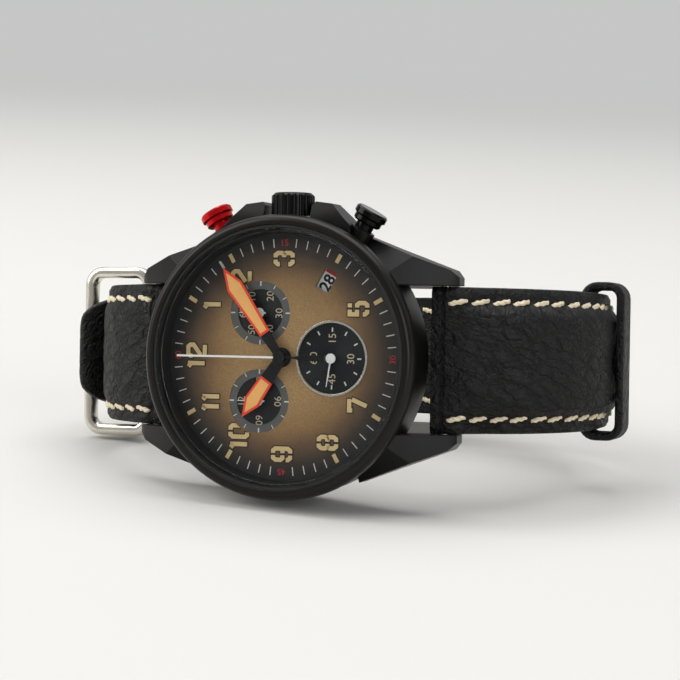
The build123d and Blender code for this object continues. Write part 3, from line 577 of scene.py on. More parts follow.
def paint_node(node: str, finish: Finish) -> None:
    """Gives a CAD node that keeps its shape its material."""
    piece = frame["nodes"][node]
    for slot in piece.material_slots:
        slot.material = dressed(finish)


def turned(profile: list[Pair], count: int = 192) -> Shell:
    """A closed profile of radius and height carried round Z: (r cos a, r sin a, h)."""
    radius, height = np.array(profile, float).T
    turn = np.linspace(0, 2 * np.pi, count, endpoint=False)[:, None]
    points = np.stack([radius * np.cos(turn), radius * np.sin(turn), height + 0 * turn], axis=-1)
    return Shell.grid(points, loop=True, ring=True)


def bowed(start: Array, middle: Array, end: Array, count: int = 24) -> Array:
    """Points on a curve through three: a parabola, (1-t)^2 a + 2t(1-t) b + t^2 c, whose b is set so."""
    share = np.linspace(0, 1, count)[:, None]
    pull = 2 * middle - (start + end) / 2
    return (1 - share) ** 2 * start + 2 * share * (1 - share) * pull + share ** 2 * end


def offset(outline: Array, away: float) -> Array:
    """A closed outline moved outwards: each corner goes along the sum of its sides' normals."""
    after = np.roll(outline, -1, axis=0) - outline
    area = np.sum(outline[:, 0] * np.roll(outline[:, 1], -1) - outline[:, 1] * np.roll(outline[:, 0], -1))
    normal = np.stack([after[:, 1], -after[:, 0]], axis=1) * np.sign(area)
    normal /= np.linalg.norm(normal, axis=1)[:, None]
    both = normal + np.roll(normal, 1, axis=0)
    both /= np.maximum(np.sum(both * both, axis=1) / 2, 0.25)[:, None]
    return outline + both * away


def plate(outline: Array, low: float, high: float, chamfer: float = 0.0) -> Shell:
    """A flat plate from a closed outline, its top edge drawn in by the chamfer."""
    levels = [(0.0, low), (0.0, high - chamfer), (-chamfer, high)] if chamfer else [(0.0, low), (0.0, high)]
    rows = [np.column_stack([offset(outline, away), np.full(len(outline), level)]) for away, level in levels]
    return Shell.grid(np.stack(rows), capped=True)


def ribbon(path: Array, width: float) -> Array:
    """The outline of a line of that width: the path moved half to its left, then half to its right."""
    step = np.diff(path, axis=0)
    step /= np.linalg.norm(step, axis=1)[:, None]
    before, after = np.vstack([step[:1], step]), np.vstack([step, step[-1:]])
    both = before + after
    both /= (np.sum(both * both, axis=1) / 2)[:, None]
    side = np.stack([-both[:, 1], both[:, 0]], axis=1) * width / 2
    return np.vstack([path + side, (path - side)[::-1]])


def bars(turns: Array, inner: float, outer: float, width: float, low: float, high: float,
         centre: Pair = (0.0, 0.0)) -> Shell:
    """Radial bars round a centre at turns in degrees clockwise from 12: (-r cos a, r sin a) with a width."""
    angle = np.radians(np.asarray(turns, float))[:, None]
    radius = np.array([inner, outer, outer, inner] * 2)
    side = np.array([-width, -width, width, width] * 2) / 2
    level = np.repeat([low, high], 4)
    x = centre[0] - radius * np.cos(angle) + side * np.sin(angle)
    y = centre[1] + radius * np.sin(angle) + side * np.cos(angle)
    one = Shell(np.zeros((8, 3)), [[0, 1, 2, 3], [4, 7, 6, 5], [0, 4, 5, 1], [1, 5, 6, 2], [2, 6, 7, 3],
                                   [3, 7, 4, 0]])
    return Shell.copies(one, np.stack([x, y, level + 0 * angle], axis=-1))


def lettering(words: str, centre: Pair, height: float, level: float, turn: float = 90.0,
              thickness: float = 0.03, bold: float = 0.0, spread: float = 1.0) -> Shell:
    """Plain figures as a thin solid.

    Args:
        words: the figures.
        centre: the middle of the text on the bench.
        height: the height of a figure.
        level: its underside.
        turn: the way that it reads, in degrees from X.
        thickness: how far it stands up.
        bold: how much its strokes grow, as a share of their size.
        spread: the room between figures, 1 for the plain one.

    Returns:
        Its surface.
    """
    curve = bpy.data.curves.new("figures", "FONT")
    curve.body, curve.extrude, curve.resolution_u = words, 0.5, 3
    curve.offset, curve.space_character = bold, spread
    text = linked("figures", curve)
    mesh = baked(text)
    points = np.empty(len(mesh.vertices) * 3)
    mesh.vertices.foreach_get("co", points)
    points = points.reshape(-1, 3)
    faces = [list(face.vertices) for face in mesh.polygons]
    bpy.data.objects.remove(text)
    low, high = points.min(axis=0), points.max(axis=0)
    flat = (points[:, :2] - (low[:2] + high[:2]) / 2) * height / (high[1] - low[1])
    angle = np.radians(turn)
    x = centre[0] + flat[:, 0] * np.cos(angle) - flat[:, 1] * np.sin(angle)
    y = centre[1] + flat[:, 0] * np.sin(angle) + flat[:, 1] * np.cos(angle)
    return Shell(np.stack([x, y, level + (points[:, 2] + 0.5) * thickness], axis=-1), faces)


def dial_place(hours: float, radius: float) -> Pair:
    """A place on the dial at an hour and a radius."""
    angle = np.radians(hours * 30)
    return float(-radius * np.cos(angle)), float(radius * np.sin(angle))


BLACK = Finish("black_coating", tint(31, 30, 30), 0.38, 0.75, 0.2, 0.22)
BEZEL = Finish("bezel_coating", tint(34, 32, 31), 0.34, 0.7, 0.2)
CROWN = Finish("crown_coating", tint(25, 25, 25), 0.26, 0.8, 0.2, 0.08)
GLOSS = Finish("gloss_black", tint(20, 20, 20), 0.14, 0.8, 0.4, 0.12)
RED = Finish("red_anodised", tint(196, 18, 26), 0.22, 0.75, 0.3, 0.12)
STEEL = Finish("polished_steel", tint(222, 216, 204), 0.24, 1.0, 0.4, 0.1)
SATIN = Brushed("satin_steel", tint(176, 174, 170), 0.32, 1.0)
RUBBER = Finish("black_rubber", tint(24, 24, 24), 0.7)
REHAUT = Finish("rehaut_black", tint(17, 16, 16), 0.5)
DIAL = DialBronze("burnt_dial", tint(140, 110, 74), 0.62, 0.0)
PRINT = Finish("white_print", tint(206, 205, 200), 0.55)
RED_PRINT = Finish("red_print", tint(172, 34, 36), 0.55)
LUME = Finish("sand_lume", tint(202, 174, 124), 0.6, 0.0, 0.16)
EDGE = Finish("figure_outline", tint(26, 20, 15), 0.6)
SMALL_PRINT = Finish("sand_print", tint(186, 172, 146), 0.55)
RING_GREY = Finish("counter_grey", tint(92, 91, 89), 0.42, 0.35, 0.12)
WELL = Sunburst("counter_black", tint(24, 24, 25), 0.4, 0.4, centre=(-3.85, 6.67), rings=4.0)
WELL_10 = Sunburst("counter_black_10", tint(24, 24, 25), 0.4, 0.4, centre=(-3.85, -6.67), rings=4.0)
RAYS = Sunburst("small_seconds_rays", tint(30, 30, 31), 0.34, 0.6, centre=(7.7, 0.0))
DISC = Finish("date_white", tint(228, 229, 231), 0.6)
HAND = Finish("hand_black", tint(19, 18, 18), 0.35, 0.3, 0.2, 0.04)
BORDER = Finish("hand_red", tint(226, 62, 34), 0.5)
HAND_LUME = Finish("orange_lume", tint(233, 170, 98), 0.6, 0.0, 0.14)
NEEDLE = Finish("needle_white", tint(232, 231, 228), 0.4, 0.0, 0.2, 0.03)
GLASS = Clear("sapphire", tint(240, 243, 248), 0.03)
BRASS = Brushed("movement_brass", tint(196, 164, 96), 0.34, 1.0)
COPPER = Finish("coil_copper", tint(186, 102, 58), 0.36, 0.9, 0.12)
BOARD = Finish("board_green", tint(22, 74, 44), 0.45, 0.0, 0.2, 0.05)
HOLDER = Finish("holder_plastic", tint(206, 204, 196), 0.55, 0.0, 0.3, 0.08)


@dataclass
class Case:
    """The case with its bezel, glass, crown, pushers and movement."""

    bezel_radius: float = 21.5
    band_radius: float = 21.0
    inner_radius: float = 19.85
    lip_width: float = 0.35
    bezel_top: float = 7.0
    case_top: float = 4.4
    edge_line: Triple = (18.99, 19.13, 5.6)
    bow_shares: Pair = (0.27, 0.24)
    skirt: float = 0.5
    chamfer: float = 0.12

    def bezel(self) -> None:
        """The bezel: its outline bows from the lip out to the edge, and is turned round the dial."""
        lip, low = self.inner_radius + self.lip_width, self.case_top + self.skirt
        across, down = self.bow_shares
        middle = np.array([self.bezel_radius - (self.bezel_radius - lip) * across,
                           self.bezel_top - (self.bezel_top - low) * down])
        curve = bowed(np.array([lip, self.bezel_top]), middle, np.array([self.bezel_radius, low]))
        profile = [tuple(point) for point in curve] + [
            (self.bezel_radius - self.chamfer, low - self.chamfer), (self.band_radius, self.case_top),
            (self.inner_radius, self.case_top), (self.inner_radius, self.bezel_top - self.chamfer),
            (self.inner_radius + 0.1, self.bezel_top)]
        place("bezel_ring", turned(profile, 256), "case", "case_black", BEZEL, ("bezel",), smooth=28.0)

    def glass_line(self) -> None:
        """The thin bright line where the glass meets the sloping ring."""
        inner, outer, level = self.edge_line
        profile = [(inner, level - 0.1), (outer, level - 0.1), (outer, level - 0.01), (inner, level - 0.01)]
        place("glass_edge_line", turned(profile), "case", "steel_polished", STEEL)

    def metal(self) -> None:
        """The case, crown and pushers, their curved faces shaded round."""
        merged("case_middle", "case_body", "case", BLACK)
        merged("case_back", "case_back_cover", "case", SATIN)
        merged("crown", "crown_cap", "crown", CROWN, 40.0)
        merged("start_pusher", "start_pusher_cap", "start_pusher", RED)
        merged("reset_pusher", "reset_pusher_cap", "reset_pusher", GLOSS)

    def carried(self) -> None:
        """The CAD nodes that keep their shape, each with the finish of its slot."""
        finishes = {"crystal_clear": GLASS, "seal": RUBBER, "steel_satin": SATIN, "steel_polished": STEEL,
                    "case_black": BLACK, "black_gloss": GLOSS, "red_anodised": RED, "works_brass": BRASS,
                    "works_steel": SATIN, "board_green": BOARD, "coil_copper": COPPER,
                    "holder_plastic": HOLDER, "dial_bronze": DIAL, "dial_black": WELL, "ring_grey": RING_GREY,
                    "lume_sand": HAND, "needle_white": NEEDLE, "disc_white": DISC, "leather_black": RUBBER}
        special = {"rehaut_ring": REHAUT, "hour_counter_plate": WELL_10, "small_seconds_plate": RAYS}
        slots = {part["node"]: part["material_slot"] for part in frame["record"]["subparts"]}
        for node, slot in slots.items():
            paint_node(node, special.get(node, finishes[slot]))

    def build(self) -> None:
        """Makes and dresses all of it."""
        self.carried()
        self.bezel()
        self.glass_line()
        self.metal()


def bowl(side: int, top: bool, middle: float) -> list[Pair]:
    """Half of a round figure in a unit box, from its cut in the middle out to the side and on."""
    edge, far = (1.0, middle) if top else (0.0, middle)
    bend = 0.14 if top else -0.14
    x = 0.5 + side * 0.5
    inner = 0.5 + side * 0.1
    return [(inner, edge), (x - side * 0.17, edge), (x, edge - bend), (x, far + bend * 0.9),
            (x - side * 0.15, far)]


def hook(side: int, top: bool) -> list[Pair]:
    """The loose end of a 3, 5 or 9, from its cut in the middle."""
    edge, bend = (1.0, 0.13) if top else (0.0, -0.13)
    x = 0.5 + side * 0.5
    return [(0.5 + side * 0.1, edge), (x - side * 0.17, edge), (x, edge - bend), (x, edge - bend * 1.9)]


FIGURES = {
    "1": [[(0.9, 1.0), (0.9, 0.0)], [(-0.25, 0.8), (0.1, 0.86), (0.75, 1.0)]],
    "2": [[(0.0, 0.74), (0.0, 0.87), (0.17, 1.0), (0.83, 1.0), (1.0, 0.87), (1.0, 0.68), (0.06, 0.24)],
          [(0.0, 0.0), (1.0, 0.0)]],
    "3": [hook(-1, True), bowl(1, True, 0.5) + [(0.62, 0.5)], bowl(1, False, 0.5), hook(-1, False)],
    "5": [[(0.4, 1.0), (0.0, 1.0), (0.0, 0.58), (0.4, 0.58)], [(0.6, 1.0), (0.96, 1.0)],
          [(0.6, 0.58), (0.84, 0.58), (1.0, 0.45), (1.0, 0.14), (0.83, 0.0), (0.6, 0.0)], hook(-1, False)],
    "7": [[(0.0, 0.82), (0.0, 1.0), (1.0, 1.0)], [(0.96, 0.84), (0.4, 0.0)]],
    "8": [bowl(-1, True, 0.5) + [(0.4, 0.5)], bowl(1, True, 0.5) + [(0.6, 0.5)], bowl(-1, False, 0.5),
          bowl(1, False, 0.5)],
    "9": [bowl(-1, True, 0.45) + [(0.4, 0.45)],
          [(0.6, 1.0), (0.83, 1.0), (1.0, 0.87), (1.0, 0.14), (0.83, 0.0), (0.6, 0.0)],
          [(0.6, 0.45), (0.86, 0.45)], hook(-1, False)],
    "0": [[(0.4, 1.0), (0.17, 1.0), (0.0, 0.87), (0.0, 0.13), (0.17, 0.0), (0.4, 0.0)],
          [(0.6, 1.0), (0.83, 1.0), (1.0, 0.87), (1.0, 0.13), (0.83, 0.0), (0.6, 0.0)]],
}


@dataclass
class Dial:
    """The dial's printing, raised figures, counters and date."""

    face: float = 3.2
    well: float = 2.95
    height: float = 3.4
    wide: float = 2.35
    narrow: float = 1.1
    gap: float = 0.42
    stroke: float = 0.66
    outline: float = 0.34
    counters: tuple[Pair, ...] = ((-3.85, 6.67), (-3.85, -6.67))
    counter_radius: float = 4.97
    seconds: Pair = (7.7, 0.0)
    cut_by: tuple[str, str] = ("2", "10")
    tick: Triple = (16.6, 17.9, 0.13)
    block: Triple = (16.5, 17.9, 0.6)
    block_edge: Triple = (16.38, 18.02, 0.86)
    quarter_radius: float = 17.3
    quarter_height: float = 0.95
    number_radius: float = 2.95
    number_height: float = 1.12
    seconds_height: float = 1.15
    ring_rise: float = 0.17
    ink: float = 0.03
    date_level: float = 2.28
    date_radius: float = 13.05
    date_turn: float = 120.0
    date_height: float = 1.9
    date_bar: Triple = (14.45, 15.2, 2.3)
    ring_tick: Triple = (4.15, 4.9, 0.11)
    ring_quarter: Triple = (4.1, 4.9, 0.2)
    seconds_tick: Triple = (4.0, 4.62, 0.2)
    clearance: float = 0.12
    figures: tuple[tuple[str, float, float], ...] = (
        ("12", -14.2, 0.05), ("1", -11.7, 7.7), ("2", -7.0, 12.1), ("3", -0.1, 14.9), ("5", 11.85, 7.5),
        ("7", 12.0, -6.8), ("8", 7.3, -12.6), ("9", 0.0, -14.6), ("10", -7.0, -12.1), ("11", -11.72, -7.12))

    def strokes(self, words: str, x: float, y: float) -> list[Array]:
        """The centre lines of a number on the bench: figures side by side, each its unit box scaled."""
        widths = [self.narrow if letter == "1" else self.wide for letter in words]
        start = -(sum(widths) + self.gap * (len(words) - 1)) / 2
        lines = []
        for letter, width in zip(words, widths):
            for path in FIGURES[letter]:
                u, v = np.array(path).T
                across = start + self.stroke / 2 + u * (width - self.stroke)
                up = (v - 0.5) * (self.height - self.stroke)
                lines.append(np.column_stack([x - up, y + across]))
            start += width + self.gap
        return lines

    def painted(self, words: str, x: float, y: float, extra: float, low: float, high: float) -> list[Shell]:
        """One number's strokes, each a plate, wider and longer by the extra."""
        shells = []
        for line in self.strokes(words, x, y):
            ends = np.vstack([line[0] - line[1], line[-1] - line[-2]])
            ends *= (extra / 2 / np.linalg.norm(ends, axis=1))[:, None]
            longer = np.vstack([line[:1] + ends[:1], line[1:-1], line[-1:] + ends[1:]])
            shells.append(plate(ribbon(longer, self.stroke + extra), self.face + low, self.face + high))
        return shells

    def hour_figures(self) -> None:
        """Stencil figures in thick paint on dark outlines. A counter cuts into the 2 and the 10."""
        for name, extra, low, high, finish in (("figure_outlines", self.outline, 0.0, self.ink, EDGE),
                                               ("hour_figures", 0.0, 0.02, 0.1, LUME)):
            strokes = {figure[0]: self.painted(*figure, extra, low, high) for figure in self.figures}
            whole = [Shell.joined(strokes[words]) for words in strokes if words not in self.cut_by]
            place(name, Shell.joined(whole), "case", "lume_sand", finish)
            for words, counter in zip(self.cut_by, self.counters):
                for number, stroke in enumerate(strokes[words]):
                    piece = place(f"{name}_{words}_{number}", stroke, "case", "lume_sand", finish)
                    self.cut(piece, counter)

    def cut(self, piece: bpy.types.Object, centre: Pair) -> None:
        """Takes a counter's circle out of a piece with a boolean, and keeps the result."""
        radius = self.counter_radius + self.clearance
        turn = np.linspace(0, 2 * np.pi, 128, endpoint=False)
        circle = np.column_stack([centre[0] + radius * np.cos(turn), centre[1] + radius * np.sin(turn)])
        mesh = plate(circle, self.face - 1, self.face + 1).mesh("cutter")
        settle(mesh, 30)
        cutter = linked("cutter", mesh)
        change = piece.modifiers.new("counter", "BOOLEAN")
        change.object, change.operation = cutter, "DIFFERENCE"
        whole = baked(piece)
        piece.modifiers.clear()
        piece.data = whole
        bpy.data.objects.remove(cutter)

    def minute_track(self) -> None:
        """Thin white ticks, sand blocks at the fives and red numbers at the quarters."""
        level = self.face
        minutes = np.arange(60)
        plain = minutes[minutes % 5 != 0] * 6.0
        fives = np.array([5, 10, 20, 25, 35, 40, 50, 55]) * 6.0
        rows = (("minute_ticks", plain, self.tick, 0.0, self.ink, "needle_white", PRINT),
                ("five_outlines", fives, self.block_edge, 0.0, 0.02, "lume_sand", EDGE),
                ("five_blocks", fives, self.block, 0.01, 0.08, "lume_sand", LUME))
        for name, turns, size, low, high, slot, finish in rows:
            place(name, bars(turns, *size, level + low, level + high), "case", slot, finish)
        quarters = (("15", 3, 0.0), ("30", 6, 90.0), ("45", 9, 180.0), ("60", 12, 90.0))
        numbers = [lettering(words, dial_place(hours, self.quarter_radius), self.quarter_height, level, turn)
                   for words, hours, turn in quarters]
        place("quarter_numbers", Shell.joined(numbers), "case", "needle_white", RED_PRINT)

    def counter(self, name: str, centre: Pair, words: tuple[str, ...]) -> None:
        """A counter's numbers round its centre and ticks on its grey ring."""
        level, step = self.well, 360 / len(words)
        turns = np.radians(np.arange(len(words)) * step)
        far = self.number_radius
        texts = [lettering(word, (centre[0] - far * np.cos(turn), centre[1] + far * np.sin(turn)),
                           self.number_height, level) for word, turn in zip(words, turns)]
        place(name + "_numbers", Shell.joined(texts), "case", "lume_sand", SMALL_PRINT)
        ring = level + self.ring_rise
        ticks = Shell.joined([
            bars(np.arange(12) * 30.0, *self.ring_tick, ring, ring + self.ink, centre),
            bars(np.arange(4) * 90.0, *self.ring_quarter, ring, ring + 0.035, centre)])
        place(name + "_ticks", ticks, "case", "needle_white", PRINT)

    def small_seconds(self) -> None:
        """The small seconds: short thick ticks and four numbers."""
        x, y = self.seconds
        ticks = bars(np.arange(12) * 30.0, *self.seconds_tick, self.well, self.well + 0.04, self.seconds)
        place("small_seconds_ticks", ticks, "case", "needle_white", PRINT)
        spots = (("60", -2.95, 0.0), ("15", 0.0, 3.1), ("30", 2.95, 0.0), ("45", 0.0, -3.1))
        texts = [lettering(words, (x + across, y + up), self.seconds_height, self.well,
                           spread=1.35 if words == "60" else 1.0) for words, across, up in spots]
        place("small_seconds_numbers", Shell.joined(texts), "case", "lume_sand", SMALL_PRINT)

    def date(self) -> None:
        """The day's black figures on the disc, read outwards, with a red bar at the rim."""
        level = self.date_level
        day = lettering("28", dial_place(4, self.date_radius), self.date_height, level, 60.0, bold=0.025)
        bar = bars(np.array([self.date_turn]), *self.date_bar, level, level + self.ink)
        place("date_figures", day, "date", "disc_white", HAND)
        place("date_bar", bar, "date", "disc_white", RED_PRINT)

    def build(self) -> None:
        """Makes all of it."""
        self.hour_figures()
        self.minute_track()
        self.counter("minute_counter", self.counters[0], ("60", "10", "20", "30", "40", "50"))
        self.counter("hour_counter", self.counters[1], ("12", "03", "06", "09"))
        self.small_seconds()
        self.date()


@dataclass
class Blade:
    """One painted blade: its body, level, time shown and outline."""

    body: str
    level: float
    turn: float
    start: float
    root: float
    wide: float
    widest: float
    tip: float
    border: float = 0.3

    def outline(self, short: float = 0.0) -> Array:
        """The painted part from its square foot to the tip, turned to the time."""
        slope = (self.wide - self.root) / 2 / self.widest
        foot = self.root / 2 + slope * self.start
        x = np.array([self.start, self.widest, self.tip, self.widest])
        y = np.array([foot, self.wide / 2, 0.0, -self.wide / 2])
        x, y = np.append(x, self.start), np.append(y, -foot)
        angle = np.radians(self.turn)
        points = np.column_stack([-x * np.cos(angle) + y * np.sin(angle),
                                  x * np.sin(angle) + y * np.cos(angle)])
        return offset(points, -short)

    def build(self, name: str) -> None:
        """A red plate with a thick orange one inside it."""
        red = plate(self.outline(-0.05), self.level - 0.02, self.level + 0.04, 0.015)
        orange = plate(self.outline(self.border), self.level + 0.02, self.level + 0.1, 0.04)
        place(name + "_border", red, self.body, "lume_sand", BORDER)
        place(name + "_lume", orange, self.body, "lume_sand", HAND_LUME)


@dataclass
class Hands:
    """The painted fills of the two blades and the white needles."""

    minute_at: float = 9.1
    hour_at: float = 10.15
    minute_level: float = 4.53
    hour_level: float = 4.03
    needle_level: float = 4.85 + 0.18
    needle: Triple = (0.95, 16.7, 0.3)
    pointer: Triple = (16.2, 17.6, 0.09)

    def build(self) -> None:
        """Makes the fills, and the needle's white fore part, which leaves its tail black."""
        Blade("minute", self.minute_level, self.minute_at * 6, start=4.4, root=1.2, wide=2.65, widest=13.04,
              tip=16.3).build("minute_hand")
        Blade("hour", self.hour_level, self.hour_at * 30, start=4.2, root=1.7, wide=2.5, widest=8.25,
              tip=11.0).build("hour_hand")
        paint_node("chrono_seconds_hand", HAND)
        top = self.needle_level
        needle = bars(np.array([0.0]), *self.needle, top, top + 0.03)
        place("chrono_needle_fill", needle, "chrono_seconds", "needle_white", NEEDLE)
        line = bars(np.array([self.minute_at * 6]), *self.pointer, 4.4, 4.5)
        place("minute_pointer", line, "minute", "needle_white", NEEDLE)


def smooth(share: Array) -> Array:
    """A smooth step from 0 to 1: 3t^2 - 2t^3."""
    share = np.clip(share, 0, 1)
    return share * share * (3 - 2 * share)


def fade(first: Array | float, second: Array | float, share: Array) -> Array:
    """From the first value to the second by a smooth step."""
    return first + (second - first) * smooth(share)


def hills(u: Array, v: Array, seed: int) -> Array:
    """Value noise: random heights at whole numbers, joined along both ways by a smooth step."""
    table = np.random.default_rng(seed).random((97, 89))
    low_u, low_v = np.floor(u).astype(int), np.floor(v).astype(int)
    share_u, share_v = smooth(u - low_u), smooth(v - low_v)
    corner = [[table[(low_u + i) % 97, (low_v + j) % 89] for j in (0, 1)] for i in (0, 1)]
    near = corner[0][0] * (1 - share_v) + corner[0][1] * share_v
    far = corner[1][0] * (1 - share_v) + corner[1][1] * share_v
    return near * (1 - share_u) + far * share_u


@dataclass
class Path:
    """The strap's face to the wrist: a start, a heading and runs of length and turn, in X and W = -Z."""

    x: float
    w: float
    heading: float
    side: int
    runs: list[Pair]

    @property
    def length(self) -> float:
        """All its runs together."""
        return sum(length for length, _ in self.runs)

    def at(self, distance: Array) -> tuple[Array, Array, Array]:
        """X, W and heading in radians at distances: each run adds its chord along its middle heading."""
        inside = np.clip(distance, 0, self.length)
        x, w = np.full(np.shape(distance), self.x), np.full(np.shape(distance), self.w)
        heading, left = np.full(np.shape(distance), np.radians(self.heading)), inside
        for length, turn in self.runs:
            span = np.clip(left, 0, length)
            bend = np.radians(turn) * span / max(length, 1e-9)
            chord = span * np.sinc(bend / 2 / np.pi)
            x = x + self.side * chord * np.cos(heading + bend / 2)
            w = w + chord * np.sin(heading + bend / 2)
            heading, left = heading + bend, left - length
        over = distance - inside
        return x + self.side * over * np.cos(heading), w + over * np.sin(heading), heading

    def raised(self, distance: Array, across: Array, lift: Array) -> Array:
        """Bench points lifted off the path away from the wrist, and moved across the strap."""
        x, w, heading = self.at(distance)
        out = x + self.side * lift * np.sin(heading)
        return np.stack([out, across + 0 * x, lift * np.cos(heading) - w], axis=-1)


@dataclass
class Layer:
    """One stretch of strap: a path with, at each station, the width, thickness and height over the path."""

    path: Path
    stations: Array
    widths: Array
    thicks: Array
    lifts: Array
    edge: float = 3.0
    seam: float = 2.3
    lead_in: float = 5.0
    row_step: float = 0.62
    edge_rise: float = 0.22
    groove: Pair = (0.2, 0.42)
    padding: Pair = (0.9, 3.4)
    thin: float = 1.5
    seed: int = 5
    notch: Pair = (0.0, 0.0)

    def at(self, values: Array, station: Array) -> Array:
        """A value at any station."""
        return np.interp(station, self.stations, values)

    def top(self, station: Array, from_edge: Array) -> Array:
        """Thickness by the distance from the edge: the edge, the seam's groove, the padding's rise."""
        thick = self.at(self.thicks, station)
        edge = np.minimum(self.edge, thick * 0.75)
        edge = edge + (thick - 0.25 - edge) * (1 - smooth((station - 1) / self.lead_in))
        low = edge + self.edge_rise * smooth(from_edge)
        early, rise = self.padding
        pad = np.maximum(thick - low, 0) * smooth((from_edge - self.seam + early) / rise)
        deep, wide = self.groove
        groove = deep * np.exp(-((from_edge - self.seam) / wide) ** 2) * smooth(thick / self.thin)
        uneven = (hills(station / 3.4, from_edge / 2.6, self.seed) - 0.5) * 0.22
        slanted = hills((station + from_edge) / 1.7, (station - from_edge) / 4.2, self.seed + 1)
        uneven = uneven + (slanted - 0.5) * 0.2
        return low + pad - groove + uneven * smooth(from_edge / 2.0) * smooth(thick / self.thin)

    def surface(self) -> tuple[Shell, Array]:
        """The skin: rows along the path, columns round the section from the middle below to the middle above.

        Returns:
            The surface and each point's place along and across the leather, in mm.
        """
        even = np.arange(self.stations[0], self.stations[-1], self.row_step)
        rows = np.unique(np.concatenate([even, self.stations]))
        half = self.at(self.widths, rows)[:, None] / 2
        turn = np.linspace(0, np.pi / 2, 5)
        inward = np.linspace(0, 1, 26) ** 1.25
        corner, small = 0.5, 0.3
        below = 1 - np.linspace(0, 1, 9)[:-1]
        from_edge = np.hstack([small + (half - small) * below, small * (1 - np.sin(turn)) + 0 * half,
                               corner * (1 - np.cos(turn)) + 0 * half,
                               corner + (half - corner) * inward[1:]])
        across = np.hstack([half - from_edge, (from_edge - half)[:, -2:0:-1]])
        from_edge = np.hstack([from_edge, from_edge[:, -2:0:-1]])
        station = rows[:, None] + 0 * across
        wide, back = self.notch
        if wide:
            station = np.where(np.abs(across) < wide / 2, np.minimum(station, back), station)
        thick = self.top(station, from_edge)
        room = np.minimum(1.0, self.at(self.thicks, station) / 1.2)
        count = len(below) + len(turn)
        right = np.concatenate([np.zeros(len(below)), 1 - np.cos(turn)])
        height = np.zeros_like(across)
        height[:, :count] = small * right * room[:, :count]
        rim = count + len(turn)
        height[:, count:rim] = thick[:, count:count + 1] - corner * (1 - np.sin(turn)) * room[:, :1]
        total = rim + len(inward) - 1
        height[:, rim:total] = thick[:, rim:total]
        height[:, total:] = height[:, total - 2:0:-1]
        points = self.path.raised(station, across, self.at(self.lifts, station) + height)
        over = np.where(np.arange(across.shape[1]) < len(below), 60.0, 0.0)
        along = np.stack([station, across + over + height, 0 * across], axis=-1)
        return Shell.grid(points, capped=True), along.reshape(-1, 3)

    def stitches(self, start: float, end: float, pitch: float = 2.9, outside: bool = True) -> Shell:
        """Two lines of slanted thread. Each stitch is a two-ply capsule of radius r(u)(1 + k cos(2a - cu)).

        Args:
            start, end: the stations between which the seams run.
            pitch: from one stitch to the next.
            outside: on the outer face, or else on the lining.

        Returns:
            All the stitches.
        """
        u = np.linspace(0, 1, 19)[:, None]
        a = np.linspace(0, 2 * np.pi, 10, endpoint=False)[None, :]
        length, thread, twist, slant = 2.75, 0.4, 20, 0.7
        swell = np.sqrt(np.clip(1 - np.abs(2 * u - 1) ** 5, 0.02, 1)) * thread
        ply = swell * (1 + 0.2 * np.cos(2 * a - twist * u))
        run = (u - 0.5) * length + 0 * a
        side = ply * np.cos(a) * 0.95 + (u - 0.5) * slant
        rise = ply * np.sin(a) * 0.8 + 0.1 - 0.34 * np.abs(2 * u - 1) ** 4
        template = Shell.grid(np.stack([run, side, rise], axis=-1), capped=True)
        local = template.points[None]
        centres = np.arange(start, end, pitch)[:, None]
        centres = centres + np.random.default_rng(self.seed).normal(0, 0.06, centres.shape)
        lines = []
        for hand in (-1, 1):
            station = centres + local[..., 0]
            edge = self.seam - hand * local[..., 1]
            half = self.at(self.widths, station) / 2
            level = self.top(station, np.full_like(station, self.seam)) if outside else 0 * station
            up = level + local[..., 2] if outside else -local[..., 2]
            lines.append(self.path.raised(station, hand * (half - edge), self.at(self.lifts, station) + up))
        return Shell.copies(template, np.concatenate(lines))

    def hole(self, station: float, radius: float = 1.0) -> Shell:
        """A dark cup with a turned-in rim: rings of radius r and depth d round the middle of the strap."""
        radii = np.array([0.02, 0.8, 0.95, 1.06, 1.16]) * radius
        depth = np.array([-0.3, -0.3, -0.12, 0.05, -0.06])
        turn = np.linspace(0, 2 * np.pi, 24, endpoint=False)[None, :]
        where = station + radii[:, None] * np.cos(turn)
        across = radii[:, None] * np.sin(turn)
        level = self.top(np.full_like(where, station), np.full_like(where, 9.0)) + 0.32
        points = self.path.raised(where, across, self.at(self.lifts, where) + level + depth[:, None])
        return Shell.grid(points, capped=True)


def end_rows(radius: float, start: float, way: int, count: int = 7) -> tuple[Array, Array, Array]:
    """Stations, thickness and lift of a rounded end: a half circle of that radius past the start."""
    angle = np.linspace(0.12, 0.98, count)[:: -way] * np.pi / 2
    return start + way * radius * np.sin(angle), 2 * radius * np.cos(angle), radius * (1 - np.cos(angle))


LEATHER = Leather("black_leather", tint(14, 14, 14), 0.46)
THREAD = Thread("cream_thread", tint(214, 200, 172), 0.72)
HOLE = Finish("hole_dark", tint(14, 13, 13), 0.8)


